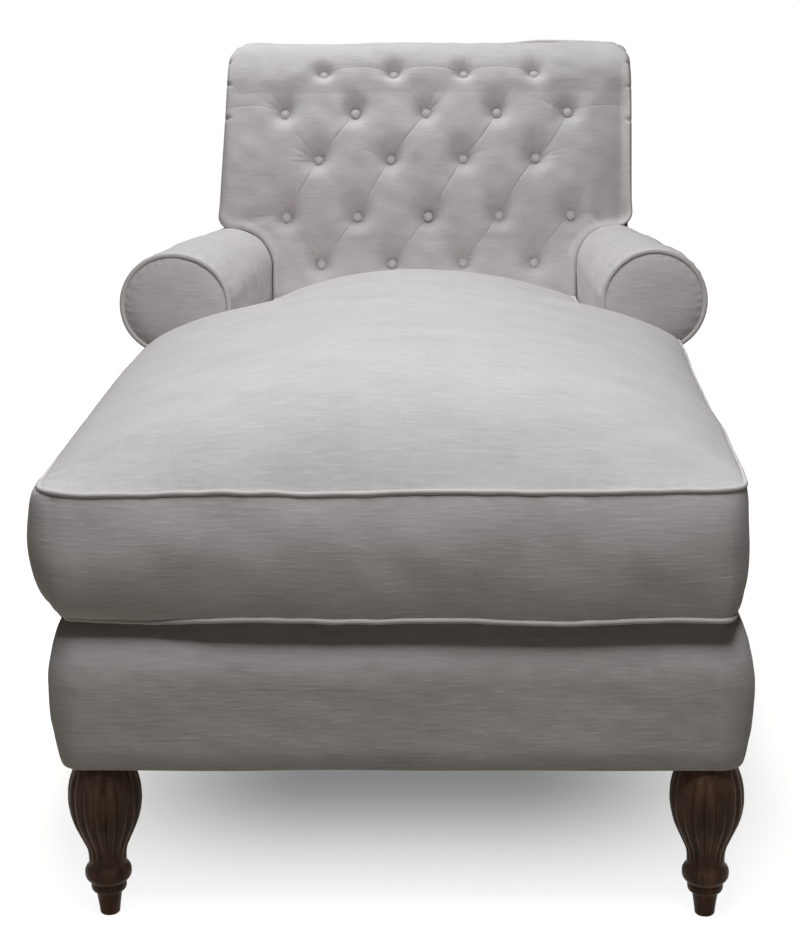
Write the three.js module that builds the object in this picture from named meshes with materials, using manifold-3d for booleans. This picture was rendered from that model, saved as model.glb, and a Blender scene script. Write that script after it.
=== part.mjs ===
// Chaise longue with a deep-buttoned back, low rolled arms and a loose T-shaped seat cushion.
// Lengths are millimetres. While it is built, y is 0 at the foot end and grows towards the back,
// x is 0 on the middle line and z is 0 on the floor. At the end the whole is centred over its box.
import * as THREE from 'three';
import { mergeVertices } from 'three/addons/utils/BufferGeometryUtils.js';
import Module from 'manifold-3d';

const wasm = await Module();
wasm.setup();

// Fits between pieces
const clearance = 0.3;
const cutOverrun = 40;
const weldDistance = 0.002;

// Base frame and its padded border
const baseWidth = 742;
const legHeight = 180;
const railHeight = 150;
const railThickness = 28;
const deckThickness = 16;
const borderBulge = 30;
const borderEdge = 14;
const borderCorner = 8;
const borderLevelShares = [0, 0.05, 0.22, 0.5, 0.78, 0.95, 1];
const dustCoverThickness = 1.5;
const dustCoverInset = 6;
const dustCoverLegRoom = 3;

// Turned front legs: heights as shares of the leg's height, radii as shares of the bulb's radius
const bulbRadius = 40;
const legProfileShares = [
  [0, 0.25], [0.008, 0.275], [0.133, 0.375], [0.144, 0.475], [0.161, 0.51], [0.183, 0.5],
  [0.194, 0.45], [0.208, 0.59], [0.233, 0.633], [0.261, 0.633], [0.286, 0.575], [0.3, 0.5],
  [0.328, 0.475], [0.367, 0.508], [0.422, 0.637], [0.489, 0.783], [0.556, 0.9], [0.611, 0.975],
  [0.656, 1], [0.722, 0.975], [0.789, 0.895], [0.856, 0.78], [0.922, 0.71], [1, 0.7],
];
const reedCount = 18;
const reedDepth = 2.6;
const reedStartShare = 0.36;
const reedEndShare = 0.95;
const legBoltRadius = 4;
const legBoltLength = 38;
const legBoltSides = 8;

// Plain rear legs
const rearLegTop = 44;
const rearLegFoot = 28;
const rearLegRake = 45;
const rearLegSetIn = 30;

// Sinuous springs
const springCount = 4;
const springWireRadius = 2;
const springSwing = 24;
const springWaves = 4;
const springStepsPerWave = 8;
const springSides = 5;

// Back
const seatDepth = 1402;
const backLean = THREE.MathUtils.degToRad(14.8);
const backHeight = 869;
const backSetIn = 13;
const backTaper = 9;
const backTopRadius = 80;
const backTopDrop = 4;
const backCornerRadius = 14;
const backEdgeRadius = 22;
const backPadDepth = 65;
const backFrameDepth = 45;
const outsideBackThickness = 8;
const backPostWidth = 27.7;
const backPostDrop = 69;
const backTopRailHeight = 70;
const tackingRailHeight = 45;
const tackingRailLift = 50;
const postFootDrop = 135;

// Buttoning: rows from the seat up, each row's place as a share of the face's length
const buttonRadius = 8.5;
const buttonPitch = 120;
const buttonBack = 6.6;
const buttonRim = 1.6;
const buttonDome = 3;
const buttonSides = 10;
const pitDepth = 20;
const pitReach = 22;
const pleatDepth = 9;
const pleatReach = 12;
const buttonRows = [
  { letter: 'e', count: 4, riseShare: 0.268 },
  { letter: 'd', count: 5, riseShare: 0.414 },
  { letter: 'c', count: 4, riseShare: 0.579 },
  { letter: 'b', count: 5, riseShare: 0.714 },
  { letter: 'a', count: 4, riseShare: 0.84 },
];
const gridCellsPerHalfPitch = 3;
const gridCellsBetweenRows = 3;
const gridCellsBelowRows = 4;
const gridCellsOverTop = 4;

// Arms
const armSetIn = 15;
const armFront = 830;
const armFrontHeight = 613;
const armRearHeight = 548;
const armFrontRadius = 76;
const armRearRadius = 62;
const armPostWidth = 93;
const armSkin = 10;
const armBoardThickness = 25;
const armRailWidth = 26;
const armRailHeight = 34;
const armRailDrop = 42;
const facingThickness = 12;
const facingDome = 5;
const facingDomeInset = 12;
const armArcSteps = 18;

// Seat cushion
const cushionSetIn = 4;
const cushionFrontSetBack = 12;
const cushionThickness = 137;
const cushionCrown = 107;
const cushionRearDrop = 44;
const cushionBulge = 8;
const cushionDrawIn = 13;
const cushionBulgeShare = 0.45;
const cushionCornerRadius = 22;
const cushionEarRadius = 34;
const cushionNeckRadius = 12;
const crownShares = [0.94, 0.84, 0.68, 0.46, 0.22, 0];
const cushionFrontShares = [0.34, 0.67];
const cushionSideShares = [0.15, 0.4, 0.65, 0.86];
const cushionNeckShares = [0.35, 0.7];
const borderStepShares = [0.08, 0.25, 0.45, 0.7, 0.92];
const soleShare = 0.88;
const spineShoulderShare = 0.5;
const crownFullness = 0.6;
const crownFlatness = 5;
const crownBlend = 10;
const crownPeakShare = 0.44;
const crownDecline = 0.28;
const crownEndPower = 6;

// Welts
const weltRadius = 3.4;
const weltSides = 6;
const weltNotch = 4.8;

// Sizes that follow from the above
const lowerDeckFace = legHeight + railHeight + clearance;
const deckTop = lowerDeckFace + deckThickness;
const standing = deckTop + clearance;
const backWidth = baseWidth - 2 * backSetIn;
const backTopWidth = backWidth - 2 * backTaper;
const backPostHeight = backHeight - backPostDrop;
const cushionFrontWidth = baseWidth - 2 * cushionSetIn;
const railOuterX = baseWidth / 2 - borderBulge;
const railInnerX = railOuterX - railThickness;
const railFrontY = borderBulge;
const postFrontY = seatDepth + backPadDepth / Math.cos(backLean);
const railRearY = postFrontY + backFrameDepth / Math.cos(backLean);
const postOuterX = railInnerX - clearance;
const postInnerX = postOuterX - backPostWidth;
const armOuterX = baseWidth / 2 - armSetIn;
const armInnerX = armOuterX - armPostWidth;
const padRearDepth = backPadDepth + backFrameDepth;
const weltRoom = 2 * weltRadius + 2 * clearance;
const legX = (railOuterX + railInnerX) / 2;
const frontLegY = railFrontY + railThickness / 2;
const rearLegY = railRearY - rearLegSetIn;

// Materials
function finish(color, roughness, metalness = 0) {
  return new THREE.MeshStandardMaterial({ color, roughness, metalness });
}
const linen = finish(0xb9b4b1, 0.95);
const linenWelt = finish(0xaaa5a1, 0.95);
const linenButton = finish(0xb4aeab, 0.95);
const walnut = finish(0x3a2a20, 0.45);
const timber = finish(0xc9a87a, 0.8);
const springSteel = finish(0x777777, 0.4, 1);
const blackCloth = finish(0x222222, 0.98);

// Mesh helpers

// Joins points that coincide, drops faces that have lost an edge and turns the skin outwards.
function closedSkin(geometry) {
  geometry.deleteAttribute('normal');
  geometry.deleteAttribute('uv');
  const welded = mergeVertices(geometry, weldDistance);
  const corners = welded.index.array;
  const faces = [];
  for (let i = 0; i < corners.length; i += 3) {
    const [a, b, c] = corners.slice(i, i + 3);
    if (a !== b && b !== c && c !== a) {
      faces.push([a, b, c]);
    }
  }
  if (signedVolume(welded.attributes.position, faces) < 0) {
    faces.forEach((face) => face.reverse());
  }
  welded.setIndex(faces.flat());
  return welded;
}

function signedVolume(position, faces) {
  const [p, q, r] = [new THREE.Vector3(), new THREE.Vector3(), new THREE.Vector3()];
  let total = 0;
  for (const [a, b, c] of faces) {
    p.fromBufferAttribute(position, a);
    q.fromBufferAttribute(position, b);
    r.fromBufferAttribute(position, c);
    total += p.dot(q.cross(r));
  }
  return total;
}

function skinOf(points, faces) {
  const geometry = new THREE.BufferGeometry();
  const coordinates = points.flatMap((point) => point.toArray());
  geometry.setAttribute('position', new THREE.Float32BufferAttribute(coordinates, 3));
  geometry.setIndex(faces.flat());
  return closedSkin(geometry);
}

// The faces between neighbouring rings. foldOther says which cells fold along their other diagonal.
function wallFaces(ringCount, size, closed, foldOther = () => false) {
  const faces = [];
  const last = closed ? ringCount : ringCount - 1;
  for (let ring = 0; ring < last; ring++) {
    const next = (ring + 1) % ringCount;
    for (let i = 0; i < size; i++) {
      const j = (i + 1) % size;
      const [a, b] = [ring * size + i, ring * size + j];
      const [c, d] = [next * size + j, next * size + i];
      if (foldOther(a, b, c, d)) {
        faces.push([a, b, d], [b, c, d]);
      } else {
        faces.push([a, b, c], [a, c, d]);
      }
    }
  }
  return faces;
}

function middleOf(ring) {
  const sum = new THREE.Vector3();
  ring.forEach((point) => sum.add(point));
  return sum.divideScalar(ring.length);
}

// A solid through rings of equally many points, closed at both ends by a fan from the ring's middle.
function loft(rings, foldOther) {
  const size = rings[0].length;
  const faces = wallFaces(rings.length, size, false, foldOther);
  const points = rings.flat();
  const firstMiddle = points.push(middleOf(rings[0])) - 1;
  const lastMiddle = points.push(middleOf(rings.at(-1))) - 1;
  const lastStart = (rings.length - 1) * size;
  for (let i = 0; i < size; i++) {
    const j = (i + 1) % size;
    faces.push([firstMiddle, j, i], [lastMiddle, lastStart + i, lastStart + j]);
  }
  return skinOf(points, faces);
}

function closedLoop(rings) {
  return skinOf(rings.flat(), wallFaces(rings.length, rings[0].length, true));
}

function block(lowX, highX, lowY, highY, lowZ, highZ) {
  const box = new THREE.BoxGeometry(highX - lowX, highY - lowY, highZ - lowZ);
  box.translate((lowX + highX) / 2, (lowY + highY) / 2, (lowZ + highZ) / 2);
  return closedSkin(box);
}

// A plate from an outline in x and z, standing across y.
function plateAcrossY(outline, lowY, thickness) {
  const options = { depth: thickness, bevelEnabled: false };
  const plate = new THREE.ExtrudeGeometry(new THREE.Shape(outline), options);
  plate.rotateX(Math.PI / 2);
  plate.translate(0, lowY + thickness, 0);
  return closedSkin(plate);
}

// A member from an outline in y and z, running along x.
function memberAlongX(outline, lowX, highX) {
  const rings = [lowX, highX].map((x) => outline.map(([y, z]) => new THREE.Vector3(x, y, z)));
  return loft(rings);
}

function mirrored(geometry) {
  const copy = geometry.clone();
  copy.applyMatrix4(new THREE.Matrix4().makeScale(-1, 1, 1));
  return closedSkin(copy);
}

function toSolid(geometry) {
  const vertProperties = new Float32Array(geometry.attributes.position.array);
  const triVerts = new Uint32Array(geometry.index.array);
  return new wasm.Manifold(new wasm.Mesh({ numProp: 3, vertProperties, triVerts }));
}

function fromSolid(solid) {
  const { vertProperties, triVerts } = solid.getMesh();
  const geometry = new THREE.BufferGeometry();
  geometry.setAttribute('position', new THREE.Float32BufferAttribute(vertProperties, 3));
  geometry.setIndex(Array.from(triVerts));
  return geometry;
}

function cutFrom(geometry, cutters) {
  let solid = toSolid(geometry);
  cutters.forEach((cutter) => {
    solid = solid.subtract(toSolid(cutter));
  });
  return fromSolid(solid);
}

// Plan lines

// The sideways direction at each point of a line, lengthened so that a parallel line keeps its distance.
function mitres(line, closed) {
  const count = line.length;
  return line.map((point, i) => {
    const before = closed || i > 0 ? line[(i + count - 1) % count] : null;
    const after = closed || i < count - 1 ? line[(i + 1) % count] : null;
    const into = (before ? point.clone().sub(before) : after.clone().sub(point)).normalize();
    const out = (after ? after.clone().sub(point) : into.clone()).normalize();
    const sideways = new THREE.Vector2(into.y + out.y, -into.x - out.x);
    return sideways.divideScalar(1 + into.dot(out));
  });
}

function parallel(line, distance, closed = true) {
  const sides = mitres(line, closed);
  return line.map((point, i) => point.clone().addScaledVector(sides[i], distance));
}

// A closed outline through corners [x, y, radius], counter-clockwise, with each corner rounded.
function roundedOutline(corners, stepsPerCorner) {
  const count = corners.length;
  return corners.flatMap(([x, y, radius], i) => {
    const corner = new THREE.Vector2(x, y);
    if (!radius) {
      return [corner];
    }
    const [beforeX, beforeY] = corners[(i + count - 1) % count];
    const [afterX, afterY] = corners[(i + 1) % count];
    const back = new THREE.Vector2(beforeX, beforeY).sub(corner).normalize();
    const ahead = new THREE.Vector2(afterX, afterY).sub(corner).normalize();
    const halfAngle = Math.acos(back.dot(ahead)) / 2;
    const middle = back.clone().add(ahead).normalize();
    const centre = corner.clone().addScaledVector(middle, radius / Math.sin(halfAngle));
    const start = corner.clone().addScaledVector(back, radius / Math.tan(halfAngle)).sub(centre);
    const end = corner.clone().addScaledVector(ahead, radius / Math.tan(halfAngle)).sub(centre);
    const turn = Math.atan2(start.cross(end), start.dot(end));
    return Array.from({ length: stepsPerCorner + 1 }, (_, step) =>
      start.clone().rotateAround(new THREE.Vector2(), (turn * step) / stepsPerCorner).add(centre));
  });
}

// A cord along a plan line at one height; place puts a plan point and a height into space.
function cordAlong(line, height, radius, sides, closed, place) {
  const sideways = mitres(line, closed);
  const rings = line.map((point, i) => Array.from({ length: sides }, (_, side) => {
    const angle = (2 * Math.PI * side) / sides;
    const shifted = point.clone().addScaledVector(sideways[i], radius * Math.cos(angle));
    return place(shifted.x, shifted.y, height + radius * Math.sin(angle));
  }));
  return closed ? closedLoop(rings) : loft(rings);
}

const upright = (x, y, z) => new THREE.Vector3(x, y, z);

// Base

function borderOffset(share) {
  return borderEdge + (borderBulge - borderEdge) * Math.sin(Math.PI * share) ** 0.7;
}

// One stretch of the padded border, along x with its outside towards -y, mitred at both corners.
function borderStretch(halfRun, mitreGap) {
  const rings = borderLevelShares.map((share) => {
    const offset = borderOffset(share);
    const height = legHeight + (deckTop - legHeight) * share;
    const half = [new THREE.Vector3(halfRun + clearance - mitreGap, -clearance, height)];
    for (const angle of [-Math.PI / 4, -Math.PI / 3, -Math.PI * 5 / 12, -Math.PI / 2]) {
      const x = halfRun - borderCorner + (borderCorner + offset) * Math.cos(angle);
      const y = borderCorner + (borderCorner + offset) * Math.sin(angle);
      half.push(new THREE.Vector3(x - mitreGap, y, height));
    }
    const otherHalf = half.map((point) => new THREE.Vector3(-point.x, point.y, point.z));
    return half.concat(otherHalf.reverse());
  });
  return loft(rings);
}

function placedBorder(halfRun, mitreGap, turn, x, y) {
  const stretch = borderStretch(halfRun, mitreGap);
  stretch.rotateZ(turn);
  stretch.translate(x, y, 0);
  return stretch;
}

function boltHole(x, y) {
  const length = legBoltLength + clearance + cutOverrun;
  const hole = new THREE.CylinderGeometry(
    legBoltRadius + clearance, legBoltRadius + clearance, length, legBoltSides);
  hole.rotateX(Math.PI / 2);
  hole.translate(x, y, legHeight + legBoltLength + clearance - length / 2);
  return closedSkin(hole);
}

function withBolt(leg, x, y) {
  const bolt = new THREE.CylinderGeometry(
    legBoltRadius, legBoltRadius, legBoltLength + legBoltLength, legBoltSides);
  bolt.rotateX(Math.PI / 2);
  bolt.translate(x, y, legHeight - clearance);
  return fromSolid(toSolid(leg).add(toSolid(closedSkin(bolt))));
}

// How far the grooves between the reeds go in at a height, none at the reeds' two ends.
function reedDepthAt(share) {
  const along = (share - reedStartShare) / (reedEndShare - reedStartShare);
  if (along <= 0 || along >= 1) {
    return 0;
  }
  return reedDepth * Math.sin(Math.PI * along) ** 0.5;
}

function frontLeg() {
  const sides = 2 * reedCount;
  const rings = legProfileShares.map(([heightShare, radiusShare]) => {
    const radius = bulbRadius * radiusShare;
    const height = (legHeight - clearance) * heightShare;
    return Array.from({ length: sides }, (_, side) => {
      const angle = (2 * Math.PI * side) / sides;
      const groove = side % 2 ? reedDepthAt(heightShare) : 0;
      const reach = radius - groove;
      return new THREE.Vector3(legX + reach * Math.cos(angle), frontLegY + reach * Math.sin(angle), height);
    });
  });
  return withBolt(loft(rings), legX, frontLegY);
}

function rearLeg() {
  const section = (size, y, z) => {
    const half = size / 2;
    return [
      new THREE.Vector3(legX - half, y - half, z),
      new THREE.Vector3(legX + half, y - half, z),
      new THREE.Vector3(legX + half, y + half, z),
      new THREE.Vector3(legX - half, y + half, z),
    ];
  };
  const rings = [
    section(rearLegFoot, rearLegY + rearLegRake, 0),
    section(rearLegTop, rearLegY, legHeight - clearance),
  ];
  return withBolt(loft(rings), legX, rearLegY);
}

function dustCover() {
  const reach = railOuterX - dustCoverInset;
  const [front, rear] = [railFrontY + dustCoverInset, railRearY - dustCoverInset];
  const legTopRadius = bulbRadius * legProfileShares.at(-1)[1];
  const frontNotchX = legX - legTopRadius - dustCoverLegRoom;
  const frontNotchY = frontLegY + legTopRadius + dustCoverLegRoom;
  const rearNotchX = legX - rearLegTop / 2 - dustCoverLegRoom;
  const rearNotchY = rearLegY - rearLegTop / 2 - dustCoverLegRoom;
  const half = [
    [frontNotchX, front], [frontNotchX, frontNotchY], [reach, frontNotchY],
    [reach, rearNotchY], [rearNotchX, rearNotchY], [rearNotchX, rear],
  ];
  const otherHalf = half.map(([x, y]) => [-x, y]).reverse();
  const outline = half.concat(otherHalf).map(([x, y]) => new THREE.Vector2(x, y));
  const sheet = new THREE.ExtrudeGeometry(
    new THREE.Shape(outline), { depth: dustCoverThickness, bevelEnabled: false });
  sheet.translate(0, 0, legHeight - clearance - dustCoverThickness);
  return closedSkin(sheet);
}

function spring(y) {
  const end = railInnerX - clearance;
  const tail = 2 * springWireRadius;
  const steps = springWaves * springStepsPerWave;
  const line = Array.from({ length: steps + 1 }, (_, step) => {
    const along = step / steps;
    const sway = springSwing * Math.cos(2 * Math.PI * springWaves * along);
    return new THREE.Vector2((end - tail) * (2 * along - 1), y + sway);
  });
  line.unshift(new THREE.Vector2(-end, y + springSwing));
  line.push(new THREE.Vector2(end, y + springSwing));
  const height = lowerDeckFace - clearance - springWireRadius;
  return cordAlong(line, height, springWireRadius, springSides, false, upright);
}

// Back. A depth is measured square into the leaning face, a rise along the face from the deck.

function backY(z, depth) {
  return seatDepth + Math.tan(backLean) * (z - deckTop) + depth / Math.cos(backLean);
}

const topCentreZ = backHeight - backTopRadius;
const topCentreY = backY(topCentreZ, 0) + backTopRadius / Math.cos(backLean);
const straightRise = (topCentreZ + backTopRadius * Math.sin(backLean) - deckTop) / Math.cos(backLean);
const topTurn = Math.PI / 2 - backLean;
const faceRise = straightRise + backTopRadius * topTurn;

// The turn of the face away from upright at a rise: the lean, and past the straight the roll of the top.
function faceTurn(rise) {
  return backLean + Math.max(0, rise - straightRise) / backTopRadius;
}

function facePoint(x, rise, depth) {
  const turn = faceTurn(rise);
  if (rise > straightRise) {
    const reach = backTopRadius - depth;
    return new THREE.Vector3(x, topCentreY - reach * Math.cos(turn), topCentreZ + reach * Math.sin(turn));
  }
  const z = deckTop + rise * Math.cos(backLean) - depth * Math.sin(backLean);
  return new THREE.Vector3(x, backY(z, depth), z);
}

function backHalfWidth(z) {
  const along = (z - armRearHeight) / (backHeight - armRearHeight);
  const straight = (backWidth + (backTopWidth - backWidth) * Math.max(0, along)) / 2;
  const intoCorner = Math.max(0, z - backHeight + backCornerRadius);
  const across = Math.sqrt(Math.max(0, backCornerRadius ** 2 - intoCorner ** 2));
  return straight - backCornerRadius + across;
}

const buttons = buttonRows.flatMap(({ letter, count, riseShare }) =>
  Array.from({ length: count }, (_, i) => ({
    name: `back_button_${letter}${i + 1}`,
    letter,
    x: (i - (count - 1) / 2) * buttonPitch,
    rise: faceRise * riseShare,
  })));

const outermostButton = Math.max(...buttons.map((button) => button.x));

// The sewn folds: between neighbours of adjoining rows, and from the outermost buttons to the sides.
function sewnFolds() {
  const folds = [];
  buttonRows.forEach(({ letter, count }, row) => {
    const own = buttons.filter((button) => button.letter === letter);
    const above = buttons.filter((button) => button.letter === buttonRows[row + 1]?.letter);
    own.forEach((low) => above
      .filter((high) => Math.abs(high.x - low.x) < buttonPitch)
      .forEach((high) => folds.push([low, high])));
    own.filter((button) => Math.abs(button.x) === outermostButton).forEach((button) => {
      const side = { x: button.x + Math.sign(button.x) * buttonPitch, rise: button.rise };
      folds.push([button, side]);
    });
  });
  return folds;
}
const folds = sewnFolds();

function distanceToFold(x, rise, [from, to]) {
  const fold = new THREE.Vector2(to.x - from.x, to.rise - from.rise);
  const point = new THREE.Vector2(x - from.x, rise - from.rise);
  const along = THREE.MathUtils.clamp(point.dot(fold) / fold.lengthSq(), 0, 1);
  return point.distanceTo(fold.multiplyScalar(along));
}

// How deep the buttoning draws the face in.
function tuftDepth(x, rise) {
  const toButton = Math.min(...buttons.map((button) => Math.hypot(x - button.x, rise - button.rise)));
  const toFold = Math.min(...folds.map((fold) => distanceToFold(x, rise, fold)));
  const pit = pitDepth * Math.exp(-toButton / pitReach);
  const pleat = pleatDepth * Math.exp(-((toFold / pleatReach) ** 2));
  return Math.max(pit, pleat);
}

function evenSteps(from, to, count) {
  return Array.from({ length: count }, (_, i) => from + ((to - from) * i) / count);
}

function backRises() {
  const rows = buttonRows.map(({ riseShare }) => faceRise * riseShare);
  const rises = evenSteps(0, rows[0], gridCellsBelowRows);
  rows.slice(1).forEach((rise, row) => rises.push(...evenSteps(rows[row], rise, gridCellsBetweenRows)));
  rises.push(...evenSteps(rows.at(-1), faceRise, gridCellsOverTop), faceRise);
  return rises;
}

const columnStep = buttonPitch / 2 / gridCellsPerHalfPitch;
const middleReach = outermostButton + (gridCellsPerHalfPitch - 1) * columnStep;

// The columns of the pad's face: places on the buttoned middle, then steps round each side edge.
function backColumns() {
  const cells = Math.round(middleReach / columnStep);
  const middle = Array.from({ length: 2 * cells + 1 }, (_, i) => ({ x: (i - cells) * columnStep }));
  const edgeAngles = [0, Math.PI / 6, Math.PI / 3, Math.PI / 2];
  const rightEdge = edgeAngles.map((angle) => ({ side: 1, angle }));
  const leftEdge = edgeAngles.map((angle) => ({ side: -1, angle })).reverse();
  return leftEdge.concat(middle, rightEdge);
}

function columnAt(column, z) {
  if (column.side) {
    const x = backHalfWidth(z) - backEdgeRadius * (1 - Math.sin(column.angle));
    return { x: column.side * x, inset: backEdgeRadius * (1 - Math.cos(column.angle)) };
  }
  const reach = backHalfWidth(z) - backEdgeRadius;
  return { x: column.x * Math.min(1, reach / (middleReach + columnStep / 2)), inset: 0 };
}

function backPad() {
  const rises = backRises();
  const depths = [];
  const rings = backColumns().map((column) => {
    const ring = rises.map((rise) => {
      const nominalZ = facePoint(0, rise, 0).z;
      const { x, inset } = columnAt(column, nominalZ);
      const depth = inset + (column.side ? 0 : tuftDepth(column.x, rise));
      depths.push(depth);
      const point = facePoint(x, rise, depth);
      point.z = Math.max(point.z, standing);
      return point;
    });
    const { x: topX, inset: topInset } = columnAt(column, backHeight);
    const topZ = backHeight - backTopDrop - topInset;
    const footX = columnAt(column, deckTop).x;
    ring.push(new THREE.Vector3(topX, backY(topZ, padRearDepth), topZ));
    ring.push(new THREE.Vector3(footX, backY(standing, padRearDepth), standing));
    depths.push(0, 0);
    return ring;
  });
  const deeperOther = (a, b, c, d) => depths[b] + depths[d] > depths[a] + depths[c];
  const cutters = [backPost(clearance), mirrored(backPost(clearance)), armHollow(), mirrored(armHollow())];
  cutters.push(backTopRail(clearance), tackingRail(clearance));
  return cutFrom(loft(rings, deeperOther), cutters);
}

// A leaning stretch of the back's frame between two heights, grown all round by a margin.
function leaningOutline(lowZ, highZ, margin) {
  const [low, high] = [lowZ - margin, highZ + margin];
  return [
    [backY(low, backPadDepth - margin), low],
    [backY(low, padRearDepth + margin), low],
    [backY(high, padRearDepth + margin), high],
    [backY(high, backPadDepth - margin), high],
  ];
}

function backPost(margin) {
  const [footFront, footRear, topRear, topFront] = leaningOutline(deckTop + margin, backPostHeight, margin);
  const footZ = deckTop - postFootDrop - margin;
  const outline = [
    [footFront[0], footZ], [footRear[0], footZ], footRear, topRear, topFront, footFront,
  ];
  return memberAlongX(outline, postInnerX - margin, postOuterX + margin);
}

function backTopRail(margin) {
  const outline = leaningOutline(backPostHeight - backTopRailHeight, backPostHeight, margin);
  const reach = postInnerX - clearance + margin;
  return memberAlongX(outline, -reach, reach);
}

function tackingRail(margin) {
  const low = deckTop + tackingRailLift;
  const outline = leaningOutline(low, low + tackingRailHeight, margin);
  const reach = postInnerX - clearance + margin;
  return memberAlongX(outline, -reach, reach);
}

// The rear outline of the back in x and rise, drawn in by an inset, open at the foot.
function rearOutline(inset, footZ) {
  const riseOf = (z, depth) => (z - deckTop + depth * Math.sin(backLean)) / Math.cos(backLean);
  const foot = riseOf(footZ, padRearDepth);
  const top = riseOf(backHeight - backTopDrop - inset, padRearDepth);
  const corner = backCornerRadius - inset;
  const footX = backWidth / 2 - inset;
  const topX = backTopWidth / 2 - inset;
  const shoulder = riseOf(armRearHeight, padRearDepth);
  const rounded = roundedOutline([
    [-footX, foot, 0], [footX, foot, 0], [footX, shoulder, 0],
    [topX, top, corner], [-topX, top, corner], [-footX, shoulder, 0],
  ], 4);
  return rounded.slice(1).concat([rounded[0]]);
}

function onBack(depthToMiddle) {
  return (x, rise, depth) => {
    const fullDepth = depthToMiddle + depth;
    const z = deckTop + rise * Math.cos(backLean) - fullDepth * Math.sin(backLean);
    return new THREE.Vector3(x, backY(z, fullDepth), z);
  };
}

function outsideBack() {
  const place = onBack(padRearDepth + clearance);
  const outline = rearOutline(weltRoom, standing + outsideBackThickness * Math.sin(backLean));
  const rings = [0, outsideBackThickness].map((depth) => outline.map(({ x, y }) => place(x, y, depth)));
  return loft(rings);
}

function backWelt() {
  const footZ = standing + 2 * weltRadius * Math.sin(backLean);
  const line = rearOutline(weltRadius + clearance, footZ);
  return cordAlong(line, clearance + weltRadius, weltRadius, weltSides, false, onBack(padRearDepth));
}

function backButton({ x, rise }) {
  const profile = [
    [0, 0],
    [buttonRadius, buttonBack],
    [buttonRadius, buttonBack + buttonRim],
    [buttonRadius * 0.7, buttonBack + buttonRim + buttonDome * 0.7],
    [0, buttonBack + buttonRim + buttonDome],
  ];
  const button = new THREE.LatheGeometry(profile.map(([r, h]) => new THREE.Vector2(r, h)), buttonSides);
  button.rotateX(Math.PI - faceTurn(rise));
  const column = columnAt({ x }, facePoint(0, rise, 0).z);
  const seat = facePoint(column.x, rise, pitDepth - clearance);
  button.translate(seat.x, seat.y, seat.z);
  return closedSkin(button);
}

// Arms. The right arm is made and the left arm is its mirror image.

// The arm's section: upright inside, round over the roll and down the outside, grown by a margin.
function armSection(radius, height, margin, bottom) {
  const centreX = armInnerX + radius;
  const centreZ = height - radius;
  const reach = radius + margin;
  const lastAngle = -Math.acos((armOuterX + margin - centreX) / reach);
  const section = [new THREE.Vector2(armInnerX - margin, bottom)];
  for (let step = 0; step <= armArcSteps; step++) {
    const angle = Math.PI + ((lastAngle - Math.PI) * step) / armArcSteps;
    section.push(new THREE.Vector2(centreX + reach * Math.cos(angle), centreZ + reach * Math.sin(angle)));
  }
  section.push(new THREE.Vector2(armOuterX + margin, bottom));
  return section;
}

function armFrontSection(margin, bottom) {
  return armSection(armFrontRadius, armFrontHeight, margin, bottom);
}

// The board at the arm's front: the scroll, with a tongue down the inside of the side rail.
function armBoard(margin) {
  const scroll = armFrontSection(margin - armSkin, standing - margin);
  const inner = scroll[0].x;
  const footZ = deckTop - postFootDrop - margin;
  const shoulderZ = lowerDeckFace - margin;
  const tongue = [
    new THREE.Vector2(railOuterX - clearance + margin, standing - margin),
    new THREE.Vector2(railOuterX - clearance + margin, shoulderZ),
    new THREE.Vector2(postOuterX + margin, shoulderZ),
    new THREE.Vector2(postOuterX + margin, footZ),
    new THREE.Vector2(inner, footZ),
  ];
  const outline = scroll.slice(1).concat(tongue);
  const front = armFront + facingThickness + clearance;
  return plateAcrossY(outline, front - margin, armBoardThickness + 2 * margin);
}

// The board's hollow in the pad, open to the front and below.
function armBoardHollow() {
  const outline = armFrontSection(clearance - armSkin, standing - cutOverrun);
  return plateAcrossY(outline, armFront - cutOverrun,
    cutOverrun + facingThickness + armBoardThickness + 2 * clearance);
}

function armRail(margin) {
  const lowX = postInnerX + (backPostWidth - armRailWidth) / 2 - margin;
  const highX = lowX + armRailWidth + 2 * margin;
  const section = (top, yAt) => {
    const [high, low] = [top + margin, top - armRailHeight - margin];
    return [[lowX, low], [highX, low], [highX, high], [lowX, high]].map(([x, z]) => upright(x, yAt(z), z));
  };
  const frontY = armFront + facingThickness + armBoardThickness + 2 * clearance;
  return loft([
    section(armFrontHeight - armRailDrop, () => frontY - margin),
    section(armRearHeight - armRailDrop, (z) => backY(z, backPadDepth - clearance + margin)),
  ]);
}

// Behind the back's padding the arm runs on only outside the post.
function frameZone() {
  const outline = leaningOutline(standing - cutOverrun, backPostHeight, clearance);
  return memberAlongX(outline, 0, postOuterX + clearance);
}

function armPad() {
  const frontY = armFront + facingThickness + clearance;
  const front = armFrontSection(0, standing).map(({ x, y: z }) => upright(x, frontY, z));
  const rear = armSection(armRearRadius, armRearHeight, 0, standing)
    .map(({ x, y: z }) => upright(x, backY(z, padRearDepth), z));
  return cutFrom(loft([front, rear]), [armBoardHollow(), armRail(clearance), frameZone()]);
}

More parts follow.
